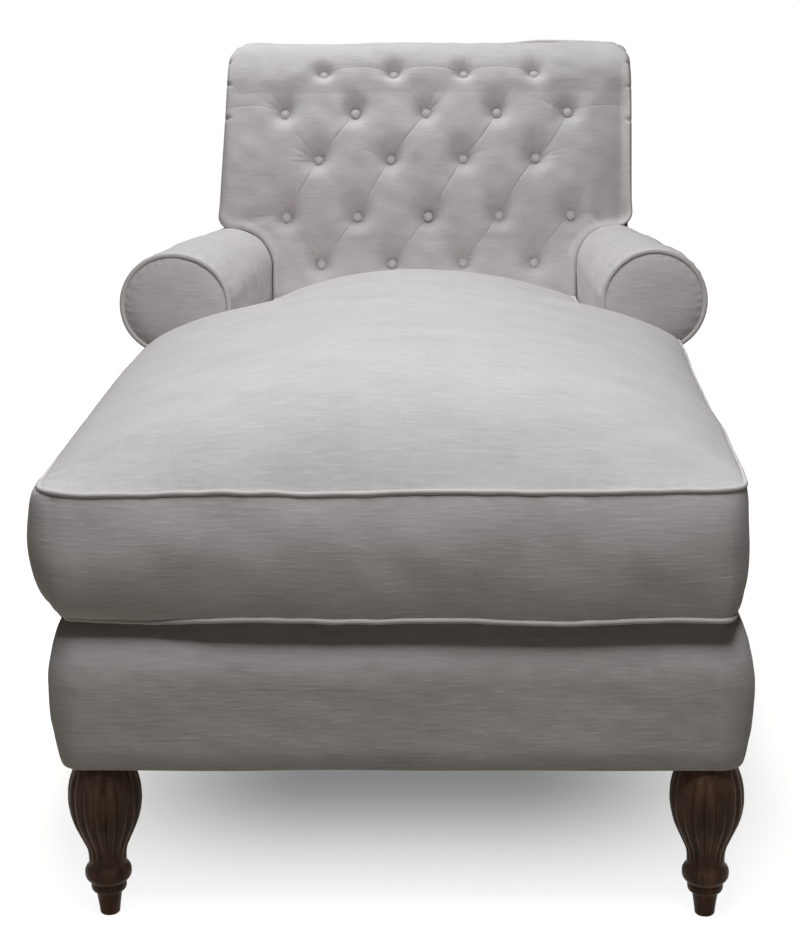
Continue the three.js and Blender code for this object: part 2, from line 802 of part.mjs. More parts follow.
// What the arm takes out of the back pad: the arm itself and all that lies outside and below its roll.
function armHollow() {
  const section = (radius, height, yAt) => {
    const centreX = armInnerX + radius;
    const centreZ = height - radius;
    const reach = radius + clearance;
    const bottom = standing - cutOverrun;
    const outline = [new THREE.Vector2(armInnerX - clearance, bottom)];
    for (let step = 0; step <= armArcSteps; step++) {
      const angle = Math.PI * (1 - step / armArcSteps);
      outline.push(new THREE.Vector2(centreX + reach * Math.cos(angle), centreZ + reach * Math.sin(angle)));
    }
    outline.push(new THREE.Vector2(centreX + reach + cutOverrun, centreZ));
    outline.push(new THREE.Vector2(centreX + reach + cutOverrun, bottom));
    return outline.map(({ x, y: z }) => upright(x, yAt(z), z));
  };
  return loft([
    section(armFrontRadius, armFrontHeight, () => armFront + facingThickness + clearance),
    section(armRearRadius, armRearHeight, (z) => backY(z, padRearDepth)),
    section(armRearRadius, armRearHeight, (z) => backY(z, padRearDepth + cutOverrun)),
  ]);
}

function armFacing() {
  const ringAt = (inset, y) => armFrontSection(-inset, standing + inset - weltRoom)
    .map(({ x, y: z }) => upright(x, y, z));
  return loft([
    ringAt(weltRoom, armFront + facingThickness),
    ringAt(weltRoom, armFront + facingDome),
    ringAt(weltRoom + facingDomeInset, armFront),
  ]);
}

function armWelt() {
  const inset = weltRadius + clearance;
  const line = armFrontSection(-inset, standing);
  const height = -(armFront + facingThickness - weltRadius);
  return cordAlong(line, height, weltRadius, weltSides, false, (x, z, y) => upright(x, -y, z));
}

function seatDeck() {
  const deck = block(-railOuterX, railOuterX, railFrontY, railRearY, lowerDeckFace, deckTop);
  const posts = [armBoard(clearance), backPost(clearance)];
  return cutFrom(deck, posts.concat(posts.map(mirrored)));
}

// Seat cushion, on the deck between the arms and over the full width in front of them

const weltSeat = (weltRadius + clearance) / Math.SQRT2 - weltNotch / 2;
const cushionBottom = standing + weltRadius + weltSeat;
const cushionTop = cushionBottom + cushionThickness;
const cushionNeckX = armInnerX - clearance - cushionBulge;
const cushionShoulderY = armFront - clearance - cushionBulge;
const cushionRearY = seatDepth - clearance - cushionBulge;

function cushionOutline(extra) {
  const halfFront = cushionFrontWidth / 2;
  const alongSide = cushionSideShares.map((share) => [halfFront, cushionShoulderY * share, 0]);
  const alongFront = cushionFrontShares.map((share) => [halfFront * share, cushionFrontSetBack, 0]);
  const alongNeck = cushionNeckShares.map((share) =>
    [cushionNeckX, cushionShoulderY + (cushionRearY - cushionShoulderY) * share, 0]);
  const right = [
    [0, cushionFrontSetBack, 0],
    ...alongFront,
    [halfFront, cushionFrontSetBack, cushionCornerRadius],
    ...alongSide,
    [halfFront, cushionShoulderY, cushionEarRadius],
    [cushionNeckX, cushionShoulderY, cushionNeckRadius],
    ...alongNeck,
    [cushionNeckX, cushionRearY, cushionCornerRadius],
    [cushionNeckX / 2, cushionRearY, 0],
    [0, cushionRearY, 0],
  ];
  const left = right.slice(1, -1).map(([x, y, radius]) => [-x, y, radius]).reverse();
  return parallel(roundedOutline(right.concat(left), 3), extra);
}

// Behind the shoulders the cushion gets thinner, and its rear leans with the back.
function withLean(x, y, z) {
  const share = THREE.MathUtils.clamp((y - cushionShoulderY) / (cushionRearY - cushionShoulderY), 0, 1);
  const thinner = 1 - share * cushionRearDrop / (cushionTop - standing);
  const height = standing + (z - standing) * thinner;
  return upright(x, y + share * Math.tan(backLean) * (height - cushionBottom), height);
}

function sideSwell(share) {
  const half = share < cushionBulgeShare ? share / cushionBulgeShare : (1 - share) / (1 - cushionBulgeShare);
  const edge = share < cushionBulgeShare ? -cushionDrawIn : 0;
  return edge + (cushionBulge - edge) * Math.sin((Math.PI / 2) * half);
}

// The swell of the top along one stretch: nothing at its ends, 1 over its middle.
function swellAlong(y, frontY, rearY) {
  const middleY = (frontY + rearY) / 2;
  const share = Math.min(1, Math.abs((y - middleY) / (rearY - middleY)));
  return (1 - share ** crownFlatness) ** crownFullness;
}

function swellAcross(x, halfWidth) {
  return Math.max(0, 1 - (x / halfWidth) ** 2) ** crownFullness;
}

// Over the whole length the top peaks over the front part, declines behind it and closes at the rear edge.
function longSwell(y, frontY, rearY) {
  const peakY = THREE.MathUtils.lerp(frontY, rearY, crownPeakShare);
  if (y < peakY) {
    return swellAlong(y, frontY, 2 * peakY - frontY);
  }
  const share = Math.min(1, (y - peakY) / (rearY - peakY));
  return (1 - crownDecline * share) * (1 - share ** crownEndPower) ** crownFullness;
}

// The crown is the fuller of two swells, one over the wide front part and one over the whole length.
function crownAt({ x, y }) {
  const front = cushionFrontSetBack + weltNotch;
  const wide = swellAcross(x, cushionFrontWidth / 2 - weltNotch)
    * swellAlong(y, front, cushionShoulderY - weltNotch);
  const long = swellAcross(x, cushionNeckX - weltNotch) * longSwell(y, front, cushionRearY - weltNotch);
  return cushionCrown * (wide ** crownBlend + long ** crownBlend) ** (1 / crownBlend);
}

// The rings of the crown and the sole close on a spine. The shoulders aim well in front of themselves,
// so no edge of the outline points straight at its own place on the spine.
function spineY(y) {
  const spineFront = cushionFrontSetBack + cushionFrontWidth / 2;
  const spineShoulder = THREE.MathUtils.lerp(spineFront, cushionShoulderY, spineShoulderShare);
  const spineRear = cushionRearY - cushionNeckX;
  if (y < cushionShoulderY) {
    return THREE.MathUtils.mapLinear(y, cushionFrontSetBack, cushionShoulderY, spineFront, spineShoulder);
  }
  return THREE.MathUtils.mapLinear(y, cushionShoulderY, cushionRearY, spineShoulder, spineRear);
}

function seatCushion() {
  const outline = cushionOutline(0);
  const towardsSpine = (ring, share) => ring.map((point) => {
    const spine = new THREE.Vector2(0, spineY(point.y));
    return point.clone().sub(spine).multiplyScalar(share).add(spine);
  });
  const level = (ring, z) => ring.map(({ x, y }) => withLean(x, y, z));
  const foot = parallel(outline, -cushionDrawIn - weltNotch);
  const edge = parallel(outline, -weltNotch);
  const rings = [
    level(towardsSpine(foot, 0), standing),
    level(towardsSpine(foot, soleShare), standing),
    level(foot, cushionBottom),
    level(parallel(outline, -cushionDrawIn), cushionBottom + weltNotch),
    ...borderStepShares.map((share) => {
      const z = cushionBottom + weltNotch + (cushionThickness - 2 * weltNotch) * share;
      return level(parallel(outline, sideSwell(share)), z);
    }),
    level(outline, cushionTop - weltNotch),
    level(edge, cushionTop),
    ...crownShares.map((share) => towardsSpine(edge, share)
      .map((point) => withLean(point.x, point.y, cushionTop + crownAt(point)))),
  ];
  return closedRings(rings);
}

// Rings whose first and last lie folded together on a line need no caps.
function closedRings(rings) {
  return skinOf(rings.flat(), wallFaces(rings.length, rings[0].length, false));
}

function cushionWelt(edgeOffset, edgeZ, upOrDown) {
  const line = cushionOutline(edgeOffset + weltSeat);
  return cordAlong(line, edgeZ + upOrDown * weltSeat, weltRadius, weltSides, true, withLean);
}

// Assembly
const chaise = new THREE.Group();

function add(name, geometry, material) {
  const mesh = new THREE.Mesh(geometry, material);
  mesh.name = name;
  chaise.add(mesh);
}

function addPair(name, geometry, material) {
  add(`${name}_right`, geometry, material);
  add(`${name}_left`, mirrored(geometry), material);
}

function addBase() {
  const railTop = legHeight + railHeight;
  const sideRail = block(railInnerX, railOuterX, railFrontY + railThickness + clearance, railRearY,
    legHeight, railTop);
  addPair('side_rail', cutFrom(sideRail, [boltHole(legX, rearLegY)]), timber);
  const frontRail = block(-railOuterX, railOuterX, railFrontY, railFrontY + railThickness,
    legHeight, railTop);
  const frontHoles = [boltHole(legX, frontLegY), boltHole(-legX, frontLegY)];
  add('front_rail', cutFrom(frontRail, frontHoles), timber);
  const rearReach = postInnerX - clearance;
  const rearRail = block(-rearReach, rearReach, railRearY - railThickness, railRearY, legHeight, railTop);
  add('rear_rail', rearRail, timber);
  const middleY = (railFrontY + railRearY) / 2;
  const halfLength = (railRearY - railFrontY) / 2;
  const mitreGap = clearance * Math.SQRT2;
  add('base_border_front', placedBorder(railOuterX, mitreGap, 0, 0, railFrontY), linen);
  add('base_border_rear', placedBorder(railOuterX, mitreGap, Math.PI, 0, railRearY), linen);
  add('base_border_right', placedBorder(halfLength, 0, Math.PI / 2, railOuterX, middleY), linen);
  add('base_border_left', placedBorder(halfLength, 0, -Math.PI / 2, -railOuterX, middleY), linen);
  addPair('front_leg', frontLeg(), walnut);
  addPair('rear_leg', rearLeg(), walnut);
  add('dust_cover', dustCover(), blackCloth);
  for (let i = 0; i < springCount; i++) {
    const share = (i + 0.5) / springCount;
    add(`seat_spring_${i + 1}`, spring(railFrontY + (postFrontY - railFrontY) * share), springSteel);
  }
  add('seat_deck', seatDeck(), blackCloth);
}

function addArms() {
  addPair('arm_post', armBoard(0), timber);
  addPair('arm_top_rail', armRail(0), timber);
  addPair('arm_pad', armPad(), linen);
  addPair('arm_facing', armFacing(), linen);
  addPair('arm_welt', armWelt(), linenWelt);
}

function addBack() {
  addPair('back_post', backPost(0), timber);
  add('back_top_rail', backTopRail(0), timber);
  add('back_tacking_rail', tackingRail(0), timber);
  add('back_pad', backPad(), linen);
  add('outside_back', outsideBack(), linen);
  add('back_welt', backWelt(), linenWelt);
  buttons.forEach((button) => add(button.name, backButton(button), linenButton));
}

function addCushion() {
  add('seat_cushion', seatCushion(), linen);
  add('cushion_top_welt', cushionWelt(0, cushionTop, 1), linenWelt);
  add('cushion_bottom_welt', cushionWelt(-cushionDrawIn, cushionBottom, -1), linenWelt);
}

addBase();
addArms();
addBack();
addCushion();

const box = new THREE.Box3().setFromObject(chaise);
chaise.position.y = -(box.min.y + box.max.y) / 2;
chaise.updateMatrixWorld(true);

export default chaise;
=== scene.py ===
import math

import bmesh
import bpy
import numpy as np
from mathutils import Matrix, Vector, geometry
from mathutils.kdtree import KDTree


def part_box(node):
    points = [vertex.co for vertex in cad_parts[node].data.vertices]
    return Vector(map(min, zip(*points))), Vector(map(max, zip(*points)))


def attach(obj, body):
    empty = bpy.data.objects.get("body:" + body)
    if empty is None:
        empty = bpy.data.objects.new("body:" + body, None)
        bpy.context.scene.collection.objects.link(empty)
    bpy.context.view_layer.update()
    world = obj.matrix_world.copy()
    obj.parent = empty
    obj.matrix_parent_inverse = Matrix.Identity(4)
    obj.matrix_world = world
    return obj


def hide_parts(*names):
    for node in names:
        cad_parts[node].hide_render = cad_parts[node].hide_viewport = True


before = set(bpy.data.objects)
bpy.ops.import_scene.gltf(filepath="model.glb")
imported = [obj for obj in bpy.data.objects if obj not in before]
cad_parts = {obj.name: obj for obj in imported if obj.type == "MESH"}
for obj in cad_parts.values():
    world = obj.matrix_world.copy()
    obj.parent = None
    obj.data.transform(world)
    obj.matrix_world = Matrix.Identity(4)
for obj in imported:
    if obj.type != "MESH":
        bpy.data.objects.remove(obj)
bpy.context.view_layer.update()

# Lengths are metres. Pieces are laid out with y from the foot end's face, and FOOT_Y takes that into
# the frame.
FOOT_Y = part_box("base_border_front")[0].y

# Base
LEG_TOP = 0.180
DECK_TOP = 0.3463
STANDING = 0.3466
RAIL_HALF = 0.341
RAIL_FRONT = 0.030
BORDER_BULGE = 0.030
BORDER_CORNER = 0.008

# Back
SEAT_DEPTH = 1.402
LEAN = math.radians(14.8)
BACK_HEIGHT = 0.869
TOP_RADIUS = 0.080
BACK_HALF = 0.358
BACK_TOP_HALF = 0.349
BACK_CORNER = 0.014
BACK_EDGE = 0.022
PAD_DEPTH = 0.110
TOP_DROP = 0.004

# Rows of buttons from the seat up: letter, count, share of the face's length, pitch and shift to the right
ROWS = [
    ("e", 4, 0.275, 0.1226, 0.005),
    ("d", 5, 0.414, 0.1228, 0.006),
    ("c", 4, 0.585, 0.1250, 0.001),
    ("b", 5, 0.725, 0.1225, -0.003),
    ("a", 4, 0.857, 0.1215, 0.0),
]

# Arms
ARM_INNER = 0.263
ARM_OUTER = 0.356
ARM_FRONT = 0.830
ARM_FRONT_HEIGHT, ARM_FRONT_RADIUS = 0.613, 0.076
ARM_REAR_HEIGHT, ARM_REAR_RADIUS = 0.548, 0.062
FACING_DEPTH = 0.012

# Cushion
CUSHION_HALF = 0.3705
CUSHION_FRONT = 0.012
CUSHION_THICK = 0.137
CROWN = 0.107
CUSHION_BULGE = 0.008
DRAW_IN = 0.013
REAR_DROP = 0.044

# Welts, the notch that seats them, and the slack between pieces
WELT = 0.0034
WELT_ROOM = 2 * WELT + 0.0006
GAP = 0.0003


# Lines and points

def smooth(low, high, x):
    """A share that goes from 0 to 1 between low and high, with soft ends."""
    t = np.clip((np.asarray(x, float) - low) / (high - low), 0, 1)
    return t * t * (3 - 2 * t)


def waves(x, seed, lengths, amplitudes):
    """A smooth wander along x: a few sines whose phases come from the seed."""
    rng = np.random.default_rng(seed)
    total = np.zeros_like(np.asarray(x, float))
    for length, amplitude in zip(lengths, amplitudes):
        total += amplitude * np.sin(2 * math.pi * (np.asarray(x) / length + rng.random()))
    return total


class Drift:
    """A smooth two-way wander over (u, v), made of sines in seeded directions."""

    def __init__(self, seed, shortest, longest, count=14):
        rng = np.random.default_rng(seed)
        length = shortest * (longest / shortest) ** rng.random(count)
        angle = rng.random(count) * math.pi
        self.k = 2 * math.pi * np.stack([np.cos(angle), np.sin(angle)]) / length
        self.phase = rng.random(count) * 2 * math.pi
        self.weight = length / length.sum() * math.sqrt(count)

    def __call__(self, u, v):
        arg = np.multiply.outer(u, self.k[0]) + np.multiply.outer(v, self.k[1]) + self.phase
        return (np.sin(arg) * self.weight).sum(-1)


def rounded(corners, steps=8):
    """A closed outline through corners (x, y, radius), with each corner rounded."""
    corners = [np.array(c, float) for c in corners]
    line = []
    for i, corner in enumerate(corners):
        radius = corner[2]
        at = corner[:2]
        if radius <= 0:
            line.append(at)
            continue
        back = corners[i - 1][:2] - at
        ahead = corners[(i + 1) % len(corners)][:2] - at
        back /= np.linalg.norm(back)
        ahead /= np.linalg.norm(ahead)
        half = math.acos(np.clip(back @ ahead, -1, 1)) / 2
        middle = (back + ahead) / np.linalg.norm(back + ahead)
        centre = at + middle * radius / math.sin(half)
        start = at + back * radius / math.tan(half) - centre
        end = at + ahead * radius / math.tan(half) - centre
        turn = math.atan2(start[0] * end[1] - start[1] * end[0], start @ end)
        for step in range(steps + 1):
            a = turn * step / steps
            c, s = math.cos(a), math.sin(a)
            line.append(centre + np.array([start[0] * c - start[1] * s, start[0] * s + start[1] * c]))
    return np.array(line)


def run_along(line, closed=True):
    """Arc length at each point of a line. A closed line's start comes again at the end."""
    points = np.vstack([line, line[:1]]) if closed else line
    return np.concatenate([[0], np.cumsum(np.linalg.norm(np.diff(points, axis=0), axis=1))])


def evenly(line, step, closed=True):
    """The line again, with points about one step apart."""
    points = np.vstack([line, line[:1]]) if closed else np.asarray(line)
    run = run_along(points, closed=False)
    count = max(3, int(round(run[-1] / step)))
    at = np.linspace(0, run[-1], count + 1)
    if closed:
        at = at[:-1]
    return np.stack([np.interp(at, run, points[:, k]) for k in range(points.shape[1])], axis=1)


def tangents(line, closed):
    """Unit tangents at the points of a line."""
    if closed:
        t = np.roll(line, -1, axis=0) - np.roll(line, 1, axis=0)
    else:
        t = np.gradient(line, axis=0)
    return t / np.maximum(np.linalg.norm(t, axis=1, keepdims=True), 1e-12)


def outward(line, closed=True):
    """Unit normals to the right of a counter-clockwise plan line, so outwards."""
    t = tangents(line, closed)
    return np.stack([t[:, 1], -t[:, 0]], axis=1)


def distance_to(points, outline):
    """Each point's least distance to a closed outline, in slices that keep the memory low."""
    way = np.roll(outline, -1, axis=0) - outline
    length = np.maximum((way ** 2).sum(1), 1e-18)
    out = np.empty(len(points))
    for i in range(0, len(points), 4000):
        p = points[i:i + 4000, None, :] - outline[None]
        t = np.clip((p * way).sum(-1) / length, 0, 1)
        out[i:i + 4000] = np.sqrt(((p - t[..., None] * way) ** 2).sum(-1)).min(1)
    return out


def nearest_on(line, points):
    """The number of the line's nearest point, for each point."""
    return np.array([((line - p) ** 2).sum(1).argmin() for p in points])


def nearest_gap(points, others):
    """Each point's distance to the nearest of the others."""
    tree = KDTree(len(others))
    for i, other in enumerate(others):
        tree.insert((other[0], other[1], 0), i)
    tree.balance()
    return np.array([tree.find((p[0], p[1], 0))[2] for p in points])


def thinned(points, gap):
    """The points in their order, without those that crowd an earlier one."""
    cells = {}
    kept = []
    for p in points:
        key = (int(p[0] // gap), int(p[1] // gap))
        near = (q for i in (-1, 0, 1) for j in (-1, 0, 1) for q in cells.get((key[0] + i, key[1] + j), ()))
        if all((q[0] - p[0]) ** 2 + (q[1] - p[1]) ** 2 > gap * gap for q in near):
            cells.setdefault(key, []).append(p)
            kept.append(p)
    return np.array(kept)


def inside(points, line):
    """Which points lie in a closed outline."""
    x, y = points[:, 0], points[:, 1]
    odd = np.zeros(len(points), bool)
    for (x1, y1), (x2, y2) in zip(line, np.roll(line, -1, axis=0)):
        cross = (y1 > y) != (y2 > y)
        if cross.any():
            at = x1 + (y - y1) * (x2 - x1) / (y2 - y1 + 1e-18)
            odd ^= cross & (x < at)
    return odd


# Meshes

def make(name, verts, faces, uvs=None, body="base", material=None, sharp=None):
    """One mesh object in the frame. uvs holds one pair per corner, in metres of cloth."""
    mesh = bpy.data.meshes.new(name)
    mesh.from_pydata([tuple(map(float, v)) for v in verts], [], [tuple(map(int, f)) for f in faces])
    mesh.update()
    if uvs is not None:
        layer = mesh.uv_layers.new(name="cloth")
        layer.data.foreach_set("uv", np.asarray(uvs, np.float32).ravel())
    mesh.polygons.foreach_set("use_smooth", [True] * len(mesh.polygons))
    if sharp is not None:
        mesh.set_sharp_from_angle(angle=math.radians(sharp))
    obj = bpy.data.objects.new(name, mesh)
    bpy.context.scene.collection.objects.link(obj)
    if material is not None:
        mesh.materials.append(material)
    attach(obj, body)
    return obj


def placed(points):
    """Foot coordinates to the frame."""
    out = np.array(points, float)
    out[..., 1] += FOOT_Y
    return out


def lattice(points, close_i, close_j, uv, flip=False):
    """Quads over a lattice of points [i, j]; uv has one more row or column where it closes."""
    ni, nj = points.shape[:2]
    faces, corners = [], []
    for i in range(ni if close_i else ni - 1):
        for j in range(nj if close_j else nj - 1):
            cells = [(i, j), (i + 1, j), (i + 1, j + 1), (i, j + 1)]
            if flip:
                cells.reverse()
            faces.append([(a % ni) * nj + b % nj for a, b in cells])
            corners.extend(uv[a, b] for a, b in cells)
    return points.reshape(-1, 3), faces, np.array(corners)


def fan(ring, hub, turned=False):
    """Triangles from a ring of point numbers to a hub, in the ring's sense or turned."""
    return [[b, a, hub] if turned else [a, b, hub] for a, b in zip(ring, np.roll(ring, -1))]


def strip(ring, onward):
    """Quads from one ring of point numbers to the next."""
    return [[a, c, d, b] for a, b, c, d in zip(ring, np.roll(ring, -1), onward, np.roll(onward, -1))]


def wall_strips(ring, base, run, heights):
    """Quads from a ring of point numbers down a stack of walls. The first wall's points start at base.

    Also gives each corner's place in the cloth, as (down, along), and the last wall's ring.
    """
    along = np.stack([run[:-1], run[:-1], run[1:], run[1:]], axis=1)
    faces, cloth_at = [], []
    for low, high in zip(heights[:-1], heights[1:]):
        onward = np.arange(len(ring)) + base
        base += len(ring)
        faces += strip(ring, onward)
        down = np.broadcast_to([low, high, high, low], along.shape)
        cloth_at.append(np.stack([down, along], axis=-1).reshape(-1, 2))
        ring = onward
    return faces, np.vstack(cloth_at), ring


def capped(verts, faces, corners, sides, hubs, uv=0.0):
    """A lattice of rings with as many sides, closed at each end by a fan to its hub."""
    first = np.arange(sides)
    last = first + len(verts) - sides
    faces = faces + fan(first, len(verts), turned=True) + fan(last, len(verts) + 1)
    return np.vstack([verts, hubs]), faces, np.vstack([corners, np.full((6 * sides, 2), uv)])


def weld(obj, distance=2e-5):
    """Joins the points that lie together and turns the faces outwards."""
    bm = bmesh.new()
    bm.from_mesh(obj.data)
    bmesh.ops.remove_doubles(bm, verts=bm.verts, dist=distance)
    bmesh.ops.dissolve_degenerate(bm, edges=bm.edges, dist=1e-7)
    bmesh.ops.recalc_face_normals(bm, faces=bm.faces)
    bm.to_mesh(obj.data)
    bm.free()
    obj.data.update()


def fill(outline, step, ring_distances=(), extra=None, clear=0.0):
    """Triangles over a flat outline: rings near its edge, extra points, then a staggered grid.

    The first points are the outline's. No grid point comes within clear of an extra point.
    """
    normal = outward(outline)
    points = [outline]
    for d in ring_distances:
        ring = outline - normal * d
        keep = distance_to(ring, outline) > d * 0.93
        points.append(ring[keep & inside(ring, outline)])
    low, high = outline.min(0), outline.max(0)
    us = np.arange(low[0], high[0] + step, step)
    vs = np.arange(low[1], high[1] + step, step * 0.866)
    grid = np.array([(u + (step / 2 if k % 2 else 0), v) for k, v in enumerate(vs) for u in us])
    grid = grid[inside(grid, outline)]
    margin = ring_distances[-1] + step * 0.6 if ring_distances else step * 0.5
    grid = grid[distance_to(grid, outline) > margin]
    if extra is not None:
        extra = extra[inside(extra, outline)]
        extra = extra[distance_to(extra, outline) > ring_distances[-1] + 0.002]
        points.append(extra)
        grid = grid[nearest_gap(grid, extra) > clear]
    points.append(grid)
    count = len(outline)
    edges = [(i, (i + 1) % count) for i in range(count)]
    got = geometry.delaunay_2d_cdt([Vector(p) for p in np.vstack(points)], edges, [], 1, 1e-7)
    return np.array([tuple(v) for v in got[0]]), np.array(got[2], int)


def sides_of(triangles):
    """All sides of the triangles, as pairs of point numbers."""
    return np.vstack([triangles[:, [0, 1]], triangles[:, [1, 2]], triangles[:, [2, 0]]])


def finer(points, triangles):
    """Each triangle in four."""
    unique, back = np.unique(np.sort(sides_of(triangles), axis=1), axis=0, return_inverse=True)
    back = back.reshape(-1)
    middle = (points[unique[:, 0]] + points[unique[:, 1]]) / 2
    n = len(triangles)
    ab, bc, ca = (back[k * n:(k + 1) * n] + len(points) for k in range(3))
    a, b, c = triangles.T
    split = np.vstack([np.stack(t, axis=1) for t in ((a, ab, ca), (ab, b, bc), (ca, bc, c), (ab, bc, ca))])
    return np.vstack([points, middle]), split


def boundary_loop(triangles):
    """The outer edge of a sheet of triangles, as a ring of point numbers in the triangles' sense."""
    have = set(map(tuple, sides_of(triangles).tolist()))
    onward = {a: b for a, b in have if (b, a) not in have}
    start = next(iter(onward))
    loop = [start]
    while onward[loop[-1]] != start:
        loop.append(onward[loop[-1]])
    return np.array(loop)


def closed_sheet(front, points, triangles, rear_of):
    """A sheet with a rim to its rear edge and a fan behind: points, faces and the edge's ring."""
    loop = boundary_loop(triangles)
    rear = rear_of(points[loop])
    ring = np.arange(len(loop)) + len(front)
    faces = triangles.tolist() + strip(loop, ring) + fan(ring, len(front) + len(loop), turned=True)
    return np.vstack([front, rear, rear.mean(0)[None]]), faces, loop


CORD_SIDES = 12


def tube(line, radius, closed):
    """A cord along points in space, with a frame that turns as little as it can."""
    n = len(line)
    t = tangents(line, closed)
    up = np.zeros_like(line)
    seed = np.array([0.0, 0.0, 1.0]) if abs(t[0][2]) < 0.9 else np.array([1.0, 0.0, 0.0])
    up[0] = seed - t[0] * (seed @ t[0])
    up[0] /= np.linalg.norm(up[0])
    for i in range(1, n):
        u = up[i - 1] - t[i] * (up[i - 1] @ t[i])
        up[i] = u / np.linalg.norm(u)
    side = np.cross(t, up)
    if closed:
        u = up[-1] - t[0] * (up[-1] @ t[0])
        twist = math.atan2(u @ side[0], u @ up[0])
        turn = -twist * np.arange(n) / n
        c, s = np.cos(turn)[:, None], np.sin(turn)[:, None]
        up, side = up * c + side * s, side * c - up * s
    radius = np.broadcast_to(np.asarray(radius, float), (n,))
    a = 2 * math.pi * np.arange(CORD_SIDES) / CORD_SIDES
    ring = up[:, None] * np.cos(a)[None, :, None] + side[:, None] * np.sin(a)[None, :, None]
    points = line[:, None] + ring * radius[:, None, None]
    run = run_along(line, closed)
    uv = np.zeros((len(run), CORD_SIDES + 1, 2))
    uv[..., 0] = run[:, None]
    uv[..., 1] = np.arange(CORD_SIDES + 1) / CORD_SIDES * 2 * math.pi * radius.mean()
    verts, faces, corners = lattice(points, closed, True, uv)
    if closed:
        return verts, faces, corners
    return capped(verts, faces, corners, CORD_SIDES, line[[0, -1]])


# Materials

def nodes_of(name):
    """A new material with its node tree and its shader."""
    material = bpy.data.materials.new(name)
    material.use_nodes = True
    tree = material.node_tree
    return material, tree, tree.nodes["Principled BSDF"]


def dial(node, values):
    """Sets a node's inputs by name."""
    for key, value in values.items():
        node.inputs[key].default_value = value


def add(tree, kind, **values):
    """A new node, with inputs and settings by name."""
    node = tree.nodes.new(kind)
    for key, value in values.items():
        if key in node.inputs:
            node.inputs[key].default_value = value
        else:
            setattr(node, key, value)
    return node


def maths(tree, operation, a, b=None, clamp=False):
    """Arithmetic on two sockets or numbers."""
    node = tree.nodes.new("ShaderNodeMath")
    node.operation = operation
    node.use_clamp = clamp
    for k, value in enumerate((a, b)):
        if value is None:
            continue
        if isinstance(value, (int, float)):
            node.inputs[k].default_value = value
        else:
            tree.links.new(value, node.inputs[k])
    return node.outputs[0]


def stretched_noise(tree, vector, scale_u, scale_v, detail, rough=0.55, offset=0.0):
    """Noise that is long where its scale is small, so threads and slubs."""
    mapping = add(tree, "ShaderNodeMapping")
    mapping.inputs["Scale"].default_value = (scale_u, scale_v, 1)
    mapping.inputs["Location"].default_value = (offset, offset * 0.7, 0)
    tree.links.new(vector, mapping.inputs["Vector"])
    noise = add(tree, "ShaderNodeTexNoise", Scale=1.0, Detail=detail, Roughness=rough)
    noise.noise_dimensions = "2D"
    tree.links.new(mapping.outputs[0], noise.inputs["Vector"])
    return noise.outputs[0]


def ramped(tree, level, first, last, *between):
    """Colours by level, from stops of (position, colour)."""
    node = add(tree, "ShaderNodeValToRGB")
    elements = node.color_ramp.elements
    for k, (position, colour) in enumerate((first, last)):
        elements[k].position = position
        elements[k].color = (*colour, 1)
    for position, colour in between:
        elements.new(position).color = (*colour, 1)
    tree.links.new(level, node.inputs[0])
    return node.outputs[0]


def bumped(tree, shader, height, strength, distance):
    """The shader's relief, from a height."""
    bump = add(tree, "ShaderNodeBump", Strength=strength, Distance=distance)
    tree.links.new(height, bump.inputs["Height"])
    tree.links.new(bump.outputs[0], shader.inputs["Normal"])


def linen(name, base, slub=1.0, bump=1.0):
    """Plain-woven linen: two sets of threads, uneven yarn with slubs along the weft, slow shifts of tone."""
    material, tree, shader = nodes_of(name)
    uv = add(tree, "ShaderNodeUVMap", uv_map="cloth").outputs[0]
    weft = stretched_noise(tree, uv, 30, 270, 4.0, 0.60)
    warp = stretched_noise(tree, uv, 380, 30, 3.0, 0.55, 3.1)
    slubs = stretched_noise(tree, uv, 40, 240, 2.0, 0.5, 7.7)
    cloud = stretched_noise(tree, uv, 10, 22, 3.0, 0.55, 1.3)
    thick = maths(tree, "MULTIPLY", maths(tree, "SUBTRACT", slubs, 0.57, clamp=True), 5.0, clamp=True)

    def times(value, share):
        return maths(tree, "MULTIPLY", value, share)

    def about_zero(noise):
        return maths(tree, "SUBTRACT", noise, 0.5)

    tone = times(about_zero(weft), 0.50 * slub)
    for part in (times(about_zero(warp), 0.12 * slub), times(thick, 0.13 * slub),
                 times(about_zero(cloud), 0.38)):
        tone = maths(tree, "ADD", tone, part)
    base = np.array(base)
    colour = ramped(tree, maths(tree, "ADD", tone, 0.5, clamp=True), (0.0, base * 0.70),
                    (1.0, np.minimum(base * 1.22, 0.92)), (0.5, base))
    tree.links.new(colour, shader.inputs["Base Color"])
    height = maths(tree, "ADD", times(weft, 0.9), times(thick, 0.5))
    height = maths(tree, "ADD", height, times(warp, 0.25))
    bumped(tree, shader, height, 0.35 * bump, 0.0006)
    dial(shader, {"Roughness": 0.92, "Specular IOR Level": 0.18,
                  "Sheen Weight": 0.12, "Sheen Roughness": 0.5})
    return material


